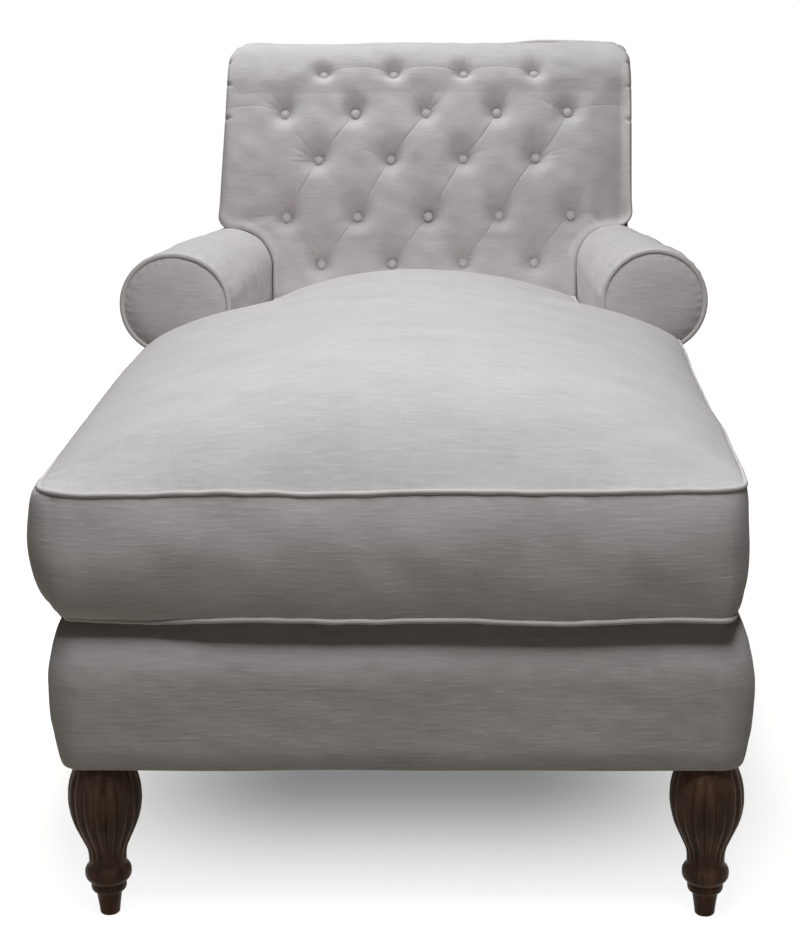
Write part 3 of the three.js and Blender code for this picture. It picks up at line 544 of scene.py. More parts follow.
def wood(name, dark, light, grain, roughness, coat):
    """Stained or plain timber. The grain is how fast its streaks change along x, y and z."""
    material, tree, shader = nodes_of(name)
    coords = add(tree, "ShaderNodeTexCoord").outputs["Object"]
    mapping = add(tree, "ShaderNodeMapping")
    mapping.inputs["Scale"].default_value = grain
    tree.links.new(coords, mapping.inputs["Vector"])
    streak = add(tree, "ShaderNodeTexNoise", Scale=1.0, Detail=6.0, Roughness=0.62, Distortion=0.6)
    tree.links.new(mapping.outputs[0], streak.inputs["Vector"])
    blotch = add(tree, "ShaderNodeTexNoise", Scale=22.0, Detail=2.0)
    tree.links.new(coords, blotch.inputs["Vector"])
    level = maths(tree, "ADD", maths(tree, "MULTIPLY", streak.outputs[0], 0.75),
                  maths(tree, "MULTIPLY", blotch.outputs[0], 0.3), clamp=True)
    tree.links.new(ramped(tree, level, (0.36, dark), (0.68, light)), shader.inputs["Base Color"])
    bumped(tree, shader, streak.outputs[0], 0.25, 0.0005)
    dial(shader, {"Roughness": roughness, "Specular IOR Level": 0.06,
                  "Coat Weight": coat, "Coat Roughness": 0.3})
    return material


LINEN = (0.605, 0.565, 0.550)
cloth = linen("linen", LINEN)
cloth_border = linen("linen_border", LINEN, slub=1.25)
cloth_back = linen("linen_back", LINEN, slub=0.9)
# The welts' linen is the cover's linen made lighter: a painted highlight for the light the welt cords catch
welt_cloth_painted_highlight = linen("linen_welt_painted_highlight", (0.66, 0.62, 0.605), slub=0.5, bump=0.7)
cloth_deck = linen("deck_cloth", (0.22, 0.215, 0.21), slub=0.8)
cloth_button = linen("linen_button", (0.66, 0.63, 0.615), slub=0.6, bump=0.7)
UPRIGHT_GRAIN = (90, 90, 6)
LONG_GRAIN = (90, 6, 90)
walnut = wood("walnut", (0.026, 0.0150, 0.0100), (0.160, 0.092, 0.056), UPRIGHT_GRAIN, 0.42, 0.03)
timber = wood("timber", (0.33, 0.20, 0.10), (0.58, 0.40, 0.23), LONG_GRAIN, 0.75, 0.0)


# Camera, from the fitted view of the photograph: angles in radians, picture lengths in its pixels

YAW, PITCH, ROLL = -0.035, 0.21, -0.014
EYE = (0.077, FOOT_Y - 2.015, 1.041)
FOCAL = 2036.0
PICTURE_HEIGHT = 950
CENTRE_ROW = 375
SENSOR = 36.0


def make_camera():
    data = bpy.data.cameras.new("camera")
    data.sensor_width = SENSOR
    data.sensor_fit = "AUTO"
    data.lens = FOCAL / PICTURE_HEIGHT * SENSOR
    data.shift_y = -(PICTURE_HEIGHT / 2 - CENTRE_ROW) / PICTURE_HEIGHT
    data.clip_start, data.clip_end = 0.05, 60
    camera = bpy.data.objects.new("camera", data)
    forward = Vector((math.sin(YAW) * math.cos(PITCH), math.cos(YAW) * math.cos(PITCH), -math.sin(PITCH)))
    right = Vector((math.cos(YAW), -math.sin(YAW), 0))
    up = right.cross(forward)
    c, s = math.cos(ROLL), math.sin(ROLL)
    image_right = right * c + up * s
    image_up = up * c - right * s
    turn = Matrix((image_right, image_up, -forward)).transposed().to_4x4()
    turn.translation = Vector(EYE)
    camera.matrix_world = turn
    bpy.context.scene.collection.objects.link(camera)
    bpy.context.scene.camera = camera


# Light: soft lamps high over the foot end and over the back, and a weak warm room

OVER_FOOT = 41.0
OVER_BACK = 29.0
LAMP_COLOUR = (0.93, 0.965, 1.0)
ROOM = (0.02, 0.018, 0.015)


def area(name, place, aim, size, power):
    """A soft lamp at place, turned to aim."""
    data = bpy.data.lights.new(name, "AREA")
    data.shape = "RECTANGLE"
    data.size, data.size_y = size
    data.energy = power
    data.color = LAMP_COLOUR
    lamp = bpy.data.objects.new(name, data)
    lamp.location = place
    lamp.rotation_euler = (Vector(aim) - Vector(place)).to_track_quat("-Z", "Y").to_euler()
    bpy.context.scene.collection.objects.link(lamp)


def in_view(tree):
    """1 for what the camera sees, straight or by a mirror or glass, and 0 for the light on the object."""
    path = add(tree, "ShaderNodeLightPath")
    seen = maths(tree, "ADD", path.outputs["Is Camera Ray"], path.outputs["Is Glossy Ray"], clamp=True)
    return maths(tree, "ADD", seen, path.outputs["Is Transmission Ray"], clamp=True)


def make_light():
    area("over_foot", (0.08, -1.34, 2.5), (0.08, -1.34, 0), (0.9, 1.1), OVER_FOOT)
    area("over_back", (-0.42, 0.80, 2.5), (-0.30, 0.80, 0), (0.9, 0.7), OVER_BACK)
    world = bpy.data.worlds.new("world")
    world.use_nodes = True
    tree = world.node_tree
    background = tree.nodes["Background"]
    background.inputs["Strength"].default_value = 1.0
    mix = add(tree, "ShaderNodeMix", data_type="RGBA")
    mix.inputs["A"].default_value = (*ROOM, 1)
    mix.inputs["B"].default_value = (1, 1, 1, 1)
    tree.links.new(in_view(tree), mix.inputs["Factor"])
    tree.links.new(mix.outputs["Result"], background.inputs["Color"])
    bpy.context.scene.world = world


# Floor: its white as the camera sees it, and a painted shadow under the piece, where that glow is lowered

FLOOR_COLOUR = (0.38, 0.35, 0.30)
FLOOR_REACH = 14
FLOOR_NEAR = 0.94
WHITE_FROM, WHITE_AT = 1.1, 2.6
# How dark the painted shadow under the piece is, and where it fades out across and along the floor
PAINTED_SHADOW = 0.71
PAINTED_SHADOW_ACROSS = (0.12, 0.56)
PAINTED_SHADOW_ALONG = (0.405, 0.80)


def eased(tree, value, low, high, first, last):
    """First up to low, last from high on, and a smooth change between them."""
    node = add(tree, "ShaderNodeMapRange", interpolation_type="SMOOTHSTEP")
    dial(node, {"From Min": low, "From Max": high, "To Min": first, "To Max": last})
    tree.links.new(value, node.inputs["Value"])
    return node.outputs["Result"]


def make_floor():
    mesh = bpy.data.meshes.new("floor")
    r = FLOOR_REACH
    mesh.from_pydata([(-r, -r, 0), (r, -r, 0), (r, r, 0), (-r, r, 0)], [], [(0, 1, 2, 3)])
    floor = bpy.data.objects.new("floor", mesh)
    bpy.context.scene.collection.objects.link(floor)
    material, tree, shader = nodes_of("floor")
    dial(shader, {"Base Color": (*FLOOR_COLOUR, 1), "Roughness": 0.9, "Specular IOR Level": 0.0})
    place = add(tree, "ShaderNodeSeparateXYZ")
    tree.links.new(add(tree, "ShaderNodeNewGeometry").outputs["Position"], place.inputs[0])
    off_x, off_y = (maths(tree, "ABSOLUTE", place.outputs[k]) for k in (0, 1))
    # Painted shadow: the glow the camera sees is lowered under the piece, most in the middle, fading out
    # across and along
    across = eased(tree, off_x, *PAINTED_SHADOW_ACROSS, 1.0, 0.0)
    lengthwise = eased(tree, off_y, *PAINTED_SHADOW_ALONG, 1.0, 0.0)
    white = eased(tree, maths(tree, "MAXIMUM", off_x, off_y), WHITE_FROM, WHITE_AT, FLOOR_NEAR, 1.0)
    painted_shadow = maths(tree, "MULTIPLY", maths(tree, "MULTIPLY", across, lengthwise), PAINTED_SHADOW)
    glow = add(tree, "ShaderNodeEmission")
    glow.inputs["Color"].default_value = (1, 1, 1, 1)
    shown = maths(tree, "MULTIPLY", in_view(tree), maths(tree, "SUBTRACT", white, painted_shadow))
    tree.links.new(shown, glow.inputs["Strength"])
    total = add(tree, "ShaderNodeAddShader")
    tree.links.new(shader.outputs[0], total.inputs[0])
    tree.links.new(glow.outputs[0], total.inputs[1])
    tree.links.new(total.outputs[0], tree.nodes["Material Output"].inputs["Surface"])
    mesh.materials.append(material)


# Back: a depth is measured square into the leaning face, a rise along the face from the deck

def back_y(z, depth):
    return SEAT_DEPTH + math.tan(LEAN) * (z - DECK_TOP) + depth / math.cos(LEAN)


TOP_Z = BACK_HEIGHT - TOP_RADIUS
TOP_Y = back_y(TOP_Z, 0) + TOP_RADIUS / math.cos(LEAN)
STRAIGHT = (TOP_Z + TOP_RADIUS * math.sin(LEAN) - DECK_TOP) / math.cos(LEAN)
FACE_RISE = STRAIGHT + TOP_RADIUS * (math.pi / 2 - LEAN)
REAR_Y = back_y(BACK_HEIGHT - TOP_DROP, PAD_DEPTH)
FLAT_TOP = REAR_Y - TOP_Y
BACK_END = FACE_RISE + FLAT_TOP


def face_point(x, rise, depth):
    """Places on the back: up the leaning face, over the roll and along the crest."""
    x, rise, depth = np.broadcast_arrays(*(np.asarray(v, float) for v in (x, rise, depth)))
    z = DECK_TOP + rise * math.cos(LEAN) - depth * math.sin(LEAN)
    y = back_y(z, depth)
    turn = LEAN + np.clip(rise - STRAIGHT, 0, FACE_RISE - STRAIGHT) / TOP_RADIUS
    reach = TOP_RADIUS - depth
    over = rise > STRAIGHT
    past = np.clip(rise - FACE_RISE, 0, None)
    y = np.where(over, TOP_Y - reach * np.cos(turn) + past, y)
    z = np.where(over, TOP_Z + reach * np.sin(turn) - TOP_DROP * (past / FLAT_TOP) ** 2, z)
    return np.stack([x, y, z], axis=-1)


def aside(points):
    """The back leans a little to the right towards its top."""
    out = np.array(points, float)
    high = smooth(0.50, 0.86, out[..., 2])
    out[..., 2] -= (0.0042 + 0.007 * out[..., 0]) * high ** 3
    out[..., 0] += 0.0095 * high
    return placed(out)


def back_half(z):
    """Half the back's width at a height, narrower towards its top and with rounded top corners."""
    along = np.clip((z - ARM_REAR_HEIGHT) / (BACK_HEIGHT - ARM_REAR_HEIGHT), 0, None)
    straight = BACK_HALF + (BACK_TOP_HALF - BACK_HALF) * along
    into = np.clip(z - BACK_HEIGHT + BACK_CORNER, 0, BACK_CORNER)
    return straight - BACK_CORNER + np.sqrt(BACK_CORNER ** 2 - into ** 2)


def button_places():
    """The buttons as (name, row, x, rise)."""
    places = []
    for letter, count, share, pitch, shift in ROWS:
        for i in range(count):
            x = (i - (count - 1) / 2) * pitch + shift
            places.append((f"{letter}{i + 1}", letter, x, FACE_RISE * share))
    return places


BUTTONS = button_places()
OUTERMOST = ("b1", "b5", "d1", "d5")


def bowed(start, end, bow, count=9):
    """A line from start to end that bows to the left of its way by bow."""
    start, end = np.array(start, float), np.array(end, float)
    way = end - start
    left = np.array([-way[1], way[0]]) / np.linalg.norm(way)
    t = np.linspace(0, 1, count)[:, None]
    return start + way * t + left * bow * 4 * t * (1 - t)


def sewn_folds():
    """Folds as (line, valley, crease, slack): between the rows, along the top row and to the sides."""
    rng = np.random.default_rng(17)
    found = []
    rows = [[b for b in BUTTONS if b[1] == row[0]] for row in ROWS]
    for low, high in zip(rows[:-1], rows[1:]):
        for a in low:
            for c in high:
                if abs(a[2] - c[2]) > 0.1:
                    continue
                bow = rng.normal(0, 0.0016)
                if c[1] == "b" and c[0] in OUTERMOST:
                    bow -= 0.005 * math.copysign(1, c[2])
                if c[2] > a[2]:
                    valley, crease = 0.95, 0.6 + 0.5 * rng.random()
                else:
                    valley, crease = 0.62, 0.08 + 0.12 * rng.random()
                if c[1] == "a":
                    valley, crease = 0.5, 0.0
                found.append((bowed(a[2:], c[2:], bow), valley, crease, 0.66))
    top = rows[-1]
    for a, c in zip(top[:-1], top[1:]):
        found.append((bowed(a[2:], c[2:], 0.011), 0.85, 0.3, 0.5))
    for b, side in ((top[0], -1), (top[-1], 1)):
        end = (b[2] + side * 0.050, b[3] + 0.010)
        found.append((bowed(b[2:], end, -0.003 * side), 0.5, 0.1, 0.5))
    for b in BUTTONS:
        if b[0] not in OUTERMOST:
            continue
        side = math.copysign(1, b[2])
        if b[1] == "b":
            drop, bow = (0.002, -0.015) if side < 0 else (-0.004, 0.010)
            end = (side * (BACK_HALF + 0.01), b[3] - drop)
            found.append((bowed(b[2:], end, bow), 0.42, 0.3, 0.35))
        else:
            end = (side * 0.302, b[3] - 0.001)
            found.append((bowed(b[2:], end, 0.003 * side), 1.4, 0.5, 0.1))
    return found


FOLDS = sewn_folds()

# How deep each row's buttons draw the cloth, and where it gathers most, in degrees from the right
PITS = {"a": 0.023, "b": 0.027, "c": 0.031, "d": 0.032, "e": 0.029}
GATHERS = {
    "b5": (96, 112, 128, 146, 160), "c4": (4, 20, 38, 58, 76, 100), "c1": (196, 176, 158, 130, 104),
    "b1": (70, 110, 150), "b2": (60, 88, 112, 140), "b3": (48, 66, 88, 110, 132), "b4": (70, 95, 150),
    "c2": (62, 90, 118, 165), "c3": (60, 84, 108, 134, 20), "d1": (80, 104, 200), "d2": (66, 92, 116),
    "d3": (70, 100, 130), "d4": (62, 92, 118), "d5": (60, 84, 120, 342), "e1": (70, 100, 130), "e4": (60, 90),
}

STRONGEST = ("b5", "c4", "c1")

# The flat under a button, how far its pit reaches, and how wide and deep gathers, valleys and creases are
BUTTON_FLAT = 0.0060
PIT_REACH = 0.0146
GATHER_WIDTH = 0.0019
VALLEY, VALLEY_WIDTH = 0.0088, 0.0165
CREASE, CREASE_WIDTH = 0.0019, 0.0014
SOFT_START = 0.008


def along_line(x, rise, line):
    """The distance to a line and the share of the way along it."""
    distance = np.full(x.shape, 9.0)
    share = np.zeros_like(x)
    count = len(line) - 1
    for k in range(count):
        ax, ay = line[k]
        bx, by = line[k + 1] - line[k]
        t = np.clip(((x - ax) * bx + (rise - ay) * by) / (bx * bx + by * by), 0, 1)
        d = np.hypot(x - ax - t * bx, rise - ay - t * by)
        closer = d < distance
        distance = np.where(closer, d, distance)
        share = np.where(closer, (k + t) / count, share)
    return distance, share


def gathers(rng, name, angle, r):
    """The small folds that run out from a button, near it."""
    strong = [math.radians(d + rng.normal(0, 3)) for d in GATHERS.get(name, (90,))]
    weak = list(rng.random(5) * 2 * math.pi)
    depth = np.zeros(len(r))
    for k, direction in enumerate(strong + weak):
        strength, length = 0.0006, 0.018
        if k < len(strong):
            strength = (0.0016 + 0.0010 * rng.random()) * (1.5 if name in STRONGEST else 1.0)
            length = 0.024 + 0.016 * rng.random()
        bend = rng.normal(0, 2.5)
        off = np.angle(np.exp(1j * (angle - direction - bend * (r - 0.01)))) * r
        start = smooth(0.0075, 0.012, r)
        depth += strength * np.exp(-(off / GATHER_WIDTH) ** 2) * start * np.exp(-(r / length) ** 2)
    return depth


def tuft_depth(x, rise):
    """How far the buttoning draws the cloth in at (x, rise)."""
    pit = np.zeros_like(x)
    pull = np.zeros_like(x)
    rng = np.random.default_rng(11)
    for name, letter, bx, br in BUTTONS:
        depth = PITS[letter] * (1 + rng.normal(0, 0.04))
        here = np.hypot(x - bx, rise - br) < 0.16
        dx, dr = x[here] - bx, rise[here] - br
        r = np.hypot(dx, dr)
        a = np.arctan2(dr, dx)
        # The cloth is drawn in further above a button than beside it
        upper = 0.0060 if letter in "ab" else 0.0085
        spread = PIT_REACH + 1.15 * upper * np.clip(np.sin(a), 0, 1) ** 1.5
        own = depth * np.exp(-(np.clip(r - BUTTON_FLAT, 0, None) / spread) ** 0.95)
        pit[here] += own ** 3
        near = r < 0.07
        pull[np.where(here)[0][near]] += gathers(rng, name, a[near], r[near])
    valley = np.zeros_like(x)
    crease = np.zeros_like(x)
    for line, deep, sharp, slack in FOLDS:
        d, t = along_line(x, rise, line)
        middle = 1 - slack * np.sin(math.pi * t)
        valley += (VALLEY * deep * middle * np.exp(-(d / VALLEY_WIDTH) ** 1.6)) ** 3
        crease = np.maximum(crease, CREASE * sharp * (0.7 + 0.3 * middle) * np.exp(-d / CREASE_WIDTH))
    soft = (pit + valley) ** (1 / 3)
    soft = np.where(soft < SOFT_START, soft ** 2 / (2 * SOFT_START) + SOFT_START / 2, soft)
    return soft + crease + pull - SOFT_START / 2


# Rings of mesh points round a button: radius and count
POINT_RINGS = ((0.0, 1), (0.004, 8), (0.0075, 14), (0.0105, 20), (0.0135, 24), (0.017, 28), (0.021, 32))


def tuft_points():
    """Where the back's mesh needs points of its own: round each button and along each crease."""
    rng = np.random.default_rng(3)
    found = []
    for button in BUTTONS:
        for radius, count in POINT_RINGS:
            a = 2 * math.pi * (np.arange(count) + rng.random()) / count
            found.append(np.stack([button[2] + radius * np.cos(a), button[3] + radius * np.sin(a)], 1))
    for fold in FOLDS:
        if fold[2] < 0.3:
            continue
        fine = evenly(fold[0], 0.0036, closed=False)
        normal = outward(fine, closed=False)
        for offset in (0.0, 0.0018, -0.0018, 0.0042, -0.0042):
            found.append(fine + normal * offset)
    return thinned(np.vstack(found), 0.0014)


def back_outline(t):
    """The back pad's outline in (x, rise) at a share t of its depth, counter-clockwise."""
    depth = PAD_DEPTH * t
    # Where the pad meets the arm it goes over the arm's roll, which sinks towards the rear
    lengthwise = 0.844 + 0.156 * t
    room, tuck = 0.0006, 0.0012
    radius = ARM_FRONT_RADIUS + (ARM_REAR_RADIUS - ARM_FRONT_RADIUS) * lengthwise + room
    top = ARM_FRONT_HEIGHT + (ARM_REAR_HEIGHT - ARM_FRONT_HEIGHT) * lengthwise + room
    cx, cz = ARM_INNER + radius - tuck, top - radius

    def rise(z):
        return (z - DECK_TOP + depth * math.sin(LEAN)) / math.cos(LEAN)

    right = [(ARM_INNER - tuck, rise(STANDING)), (ARM_INNER - tuck, rise(cz - 0.02))]
    right += [(cx - radius * math.cos(a), rise(cz + radius * math.sin(a)))
              for a in np.linspace(0, math.pi / 2, 16)]
    corner = 0.027
    bend_x, bend_z = BACK_HALF - corner, top + corner
    right += [(bend_x + corner * math.sin(a), rise(bend_z - corner * math.cos(a)))
              for a in np.linspace(0.15, math.pi / 2, 10)]
    for r in np.linspace(rise(bend_z) + 0.02, STRAIGHT, 16):
        right.append((float(back_half(DECK_TOP + r * math.cos(LEAN))), r))
    for r in np.linspace(STRAIGHT, FACE_RISE, 40)[1:]:
        turn = LEAN + (r - STRAIGHT) / TOP_RADIUS
        right.append((float(back_half(TOP_Z + TOP_RADIUS * math.sin(turn))), r))
    right.append((BACK_TOP_HALF - BACK_CORNER, BACK_END))
    right = np.array(right)
    left = right[::-1] * [-1, 1]
    return np.vstack([right, left])


def edge_radius(rise):
    """The pad's rounding: soft at the sides, small against the arms and at the crest's rear seam."""
    low, seam = 0.013, 0.012
    above = smooth(0.215, 0.262, rise)
    rear = smooth(FACE_RISE, BACK_END - 0.012, rise)
    return (low + (BACK_EDGE - low) * above) * (1 - rear) + seam * rear


def side_notches(x, rise):
    """Small pleats where the face's cloth is turned over its side edges near the top."""
    depth = np.zeros_like(x)
    for side, places in ((-1, (0.415, 0.475, 0.525)), (1, (0.408, 0.468, 0.518))):
        for k, place in enumerate(places):
            across = (rise - place - 0.10 * (np.abs(x) - 0.345) * (1 if k % 2 else -1)) / 0.0032
            reach = smooth(0.335, 0.352, side * x)
            depth += 0.0060 * np.exp(-across ** 2) * reach
    return depth


def fullness(rise):
    """How far the face falls back from its fullest height, low down."""
    away = np.clip(rise - 0.31, -0.11, 0.15)
    return np.where(away < 0, 0.75, 0.50) * away ** 2 * (1 - smooth(0.49, 0.575, rise))


def back_surface(points, outline):
    """The face of the pad over points (x, rise) of its outline."""
    x, rise = points[:, 0], points[:, 1]
    d = distance_to(points, outline)
    radius = edge_radius(rise)
    into = np.clip(radius - d, 0, None)
    inset = radius - np.sqrt(np.clip(radius ** 2 - into ** 2, 0, None))
    lift = Drift(5, 0.10, 0.28)(x, rise) * 0.0012
    fade = smooth(0.0, 0.03, d)
    depth = inset + tuft_depth(x, rise) * smooth(0.0, 0.012, d) + side_notches(x, rise)
    # The pad is fullest low down, and falls away to the right
    depth += fullness(rise) * smooth(0.0, 0.02, d)
    right = (2.1 + 1.6 * (1 - smooth(0.20, 0.38, rise))) * (1 - smooth(0.42, 0.52, rise))
    depth += right * np.clip(x - 0.245, 0, 0.10) ** 2 * smooth(0.0, 0.02, d)
    depth += (lift + 0.0006 * Drift(8, 0.03, 0.08)(x, rise)) * fade
    return face_point(x, rise, depth)


def make_back():
    """The buttoned pad: its face over the crest, side walls and a flat rear."""
    step = 0.005
    extra = tuft_points()
    outline = evenly(back_outline(0.0), 0.005)
    rings = [0.0012, 0.003, 0.0055, 0.009, 0.013, 0.018]
    points, triangles = finer(*fill(outline, step, rings, extra, 0.0034))
    front = back_surface(points, outline)
    loop = boundary_loop(triangles)
    start, edge = front[loop], points[loop]
    # Side walls, from the rounded edge to the rear
    run = run_along(outline)
    share = (run[:-1] / run[-1])[nearest_on(outline, edge)]
    rear_line = evenly(back_outline(1.0), 0.005)
    rear_at = np.linspace(0, 1, len(rear_line), endpoint=False)
    rear = np.stack([np.interp(share, rear_at, rear_line[:, k], period=1) for k in (0, 1)], axis=1)
    radius = edge_radius(edge[:, 1])
    over = smooth(STRAIGHT - 0.05, FACE_RISE, edge[:, 1])[:, None]
    walls = []
    for t in np.linspace(0, 1, 8)[1:]:
        plan = edge * (1 - t) + rear * t
        depth = radius + (PAD_DEPTH - radius) * t
        z = DECK_TOP + plan[:, 1] * math.cos(LEAN) - depth * math.sin(LEAN)
        leaning = np.stack([plan[:, 0], back_y(z, depth), z], axis=1)
        level = np.stack([start[:, 0], start[:, 1] + (REAR_Y - start[:, 1]) * t * 0.999, start[:, 2]], axis=1)
        walls.append(leaning * (1 - over) + level * over)
    run = run_along(edge, closed=False)
    wall_faces, wall_cloth, last = wall_strips(loop, len(front), np.append(run, run[-1] + 0.0025),
                                               0.016 * np.arange(len(walls) + 1))
    hub = len(front) + len(loop) * len(walls)
    verts = np.vstack([front] + walls + [walls[-1].mean(0)[None]])
    faces = triangles.tolist() + wall_faces + fan(last, hub, turned=True)
    uvs = np.vstack([points[triangles.ravel()], wall_cloth, np.zeros((3 * len(loop), 2))])
    obj = make("back_cover", aside(verts), faces, uvs, material=cloth_back, sharp=75)
    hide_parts("back_pad")


# A button's section, as distance from its axis and height: its crown, then down to its foot
BUTTON_CROWN = 0.0102
BUTTON_SECTION = np.array([
    (0.0016, 0.0101), (0.0032, 0.0097), (0.0048, 0.0090), (0.0062, 0.0080), (0.0074, 0.0067),
    (0.0083, 0.0050), (0.0086, 0.0036), (0.0083, 0.0022), (0.0074, 0.0012), (0.0062, 0.0004),
    (0.0056, -0.0006),
])


def make_buttons():
    """Covered buttons in their pits, each a little askew, with a crimp in the cloth round its rim."""
    rng = np.random.default_rng(4)
    sides = 28
    a = 2 * math.pi * np.arange(sides) / sides
    out, up = BUTTON_SECTION[:, :1], BUTTON_SECTION[:, 1:]
    round_again = np.append(a, a[0])
    uv = np.stack([out * np.cos(round_again), out * np.sin(round_again)], axis=-1)
    for name, letter, bx, br in BUTTONS:
        ring = out + 0.00018 * np.sin(a * 9 + rng.random() * 6) * smooth(0.004, 0.008, out)
        local = np.stack([ring * np.cos(a), ring * np.sin(a), np.repeat(up, sides, 1)], -1)
        tilt = LEAN + max(0.0, br - STRAIGHT) / TOP_RADIUS + rng.normal(0, 0.05)
        swing = rng.normal(0, 0.05)
        axis = np.array([math.sin(swing), -math.cos(tilt), math.sin(tilt)])
        axis /= np.linalg.norm(axis)
        across = np.cross([0, 0, 1.0], axis)
        across /= np.linalg.norm(across)
        basis = np.stack([-across, np.cross(axis, across), axis])
        sunk = 0.0010 if letter == "a" else 0.0038
        seat = face_point(bx, br, PITS[letter] - sunk + fullness(br))
        verts, faces, corners = lattice(local @ basis + seat, False, True, uv + 0.1 * rng.random(2))
        ends = np.array([[0, 0, BUTTON_CROWN], [0, 0, 0.0]]) @ basis + seat
        verts, faces, corners = capped(verts, faces, corners, sides, ends, 0.05)
        obj = make(f"button_{name}", aside(verts), faces, corners, material=cloth_button)
        weld(obj, 1e-6)
        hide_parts(f"back_button_{name}")


def rear_outline(inset, foot_z):
    """The rear of the back in (x, rise along the rear), from the right foot over the top to the left foot."""
    def rise(z):
        return (z - DECK_TOP + PAD_DEPTH * math.sin(LEAN)) / math.cos(LEAN)

    corner = BACK_CORNER - inset
    foot_x, top_x = BACK_HALF - inset, BACK_TOP_HALF - inset
    foot, top = rise(foot_z), rise(BACK_HEIGHT - TOP_DROP - inset)
    shoulder = rise(ARM_REAR_HEIGHT)
    line = rounded([(-foot_x, foot, 0), (foot_x, foot, 0), (foot_x, shoulder, 0), (top_x, top, corner),
                    (-top_x, top, corner), (-foot_x, shoulder, 0)], 10)
    return np.vstack([line[1:], line[:1]])


def on_rear(x, rise, depth):
    """Behind the back pad: x, rise along the rear plane and depth behind it."""
    full = PAD_DEPTH + depth
    z = DECK_TOP + rise * math.cos(LEAN) - full * math.sin(LEAN)
    return np.stack(np.broadcast_arrays(x, back_y(z, full), z), axis=-1)


def make_outside_back():
    """The panel behind the back, and the welt round it."""
    foot = STANDING + 0.003
    line = evenly(rear_outline(WELT_ROOM, foot), 0.006)
    points, triangles = fill(line, 0.016, [0.002, 0.005, 0.010])
    x, rise = points.T
    d = distance_to(points, line)
    puff = 0.0022 * smooth(0, 0.12, d) + 0.0010 * Drift(21, 0.08, 0.3)(x, rise) * smooth(0, 0.05, d)
    edge = 0.003 - np.sqrt(np.clip(0.003 ** 2 - np.clip(0.003 - d, 0, None) ** 2, 0, None))
    sheet = on_rear(x, rise, GAP + 0.0065 - edge + puff)
    verts, faces, loop = closed_sheet(sheet, points, triangles,
                                      lambda rim: on_rear(rim[:, 0], rim[:, 1], GAP))
    here, there = points[loop], points[np.roll(loop, -1)]
    rim_cloth = np.stack([here, here + [0.006, 0], there + [0.006, 0], there], axis=1).reshape(-1, 2)
    uvs = np.vstack([points[triangles.ravel()], rim_cloth, np.zeros((3 * len(loop), 2))])
    obj = make("outside_back_cover", aside(verts), faces, uvs, material=cloth_back, sharp=70)
    weld(obj)
    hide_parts("outside_back")
    # Its welt stands up a little over the right of the crest
    line = evenly(rear_outline(WELT + GAP, foot), 0.006, closed=False)
    place = on_rear(line[:, 0], line[:, 1], GAP + WELT)
    run = run_along(line, closed=False)
    place[:, 2] += waves(run, 3, (0.21, 0.34), (0.0006, 0.0009)) * smooth(0.05, 0.2, place[:, 2] - 0.5)
    stands = smooth(0.10, 0.20, place[:, 0]) * (1 - smooth(0.29, 0.34, place[:, 0])) * (place[:, 2] > 0.8)
    place[:, 2] += 0.0065 * stands
    verts, faces, corners = tube(place, WELT, False)
    welt = make("back_welt_cord", aside(verts), faces, corners, material=welt_cloth_painted_highlight)
    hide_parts("back_welt")


# Arms

ARM_POINTS = 140
ARM_LENGTH = 0.70


def arm_section(radius, height, margin, bottom, steps=64):
    """Inside upright, over the roll, down and under the outside to the post's outer face."""
    cx, cz = ARM_INNER + radius, height - radius
    reach = radius + margin
    last = -math.acos((ARM_OUTER + margin - cx) / reach)
    line = [(ARM_INNER - margin, bottom)]
    for step in range(steps + 1):
        a = math.pi + (last - math.pi) * step / steps
        line.append((cx + reach * math.cos(a), cz + reach * math.sin(a)))
    line.append((ARM_OUTER + margin, bottom))
    return np.array(line)


def mirror(points):
    """To the left arm, whose roll stands a little further out than the right one's."""
    out = np.array(points, float)
    out[..., 0] *= -1
    high = smooth(STANDING + 0.05, STANDING + 0.16, out[..., 2])
    out[..., 0] -= 0.008 * high * smooth(0.27, 0.36, -out[..., 0])
    return out


def both_sides(build):
    build(1, "right")
    build(-1, "left")


def arm_size(y):
    """The roll's radius and top height, along the arm."""
    t = np.clip((y - ARM_FRONT - FACING_DEPTH) / (back_y(0.5, PAD_DEPTH) - ARM_FRONT - FACING_DEPTH), 0, 1.1)
    radius = ARM_FRONT_RADIUS + (ARM_REAR_RADIUS - ARM_FRONT_RADIUS) * t
    height = ARM_FRONT_HEIGHT + (ARM_REAR_HEIGHT - ARM_FRONT_HEIGHT) * t
    return radius, height


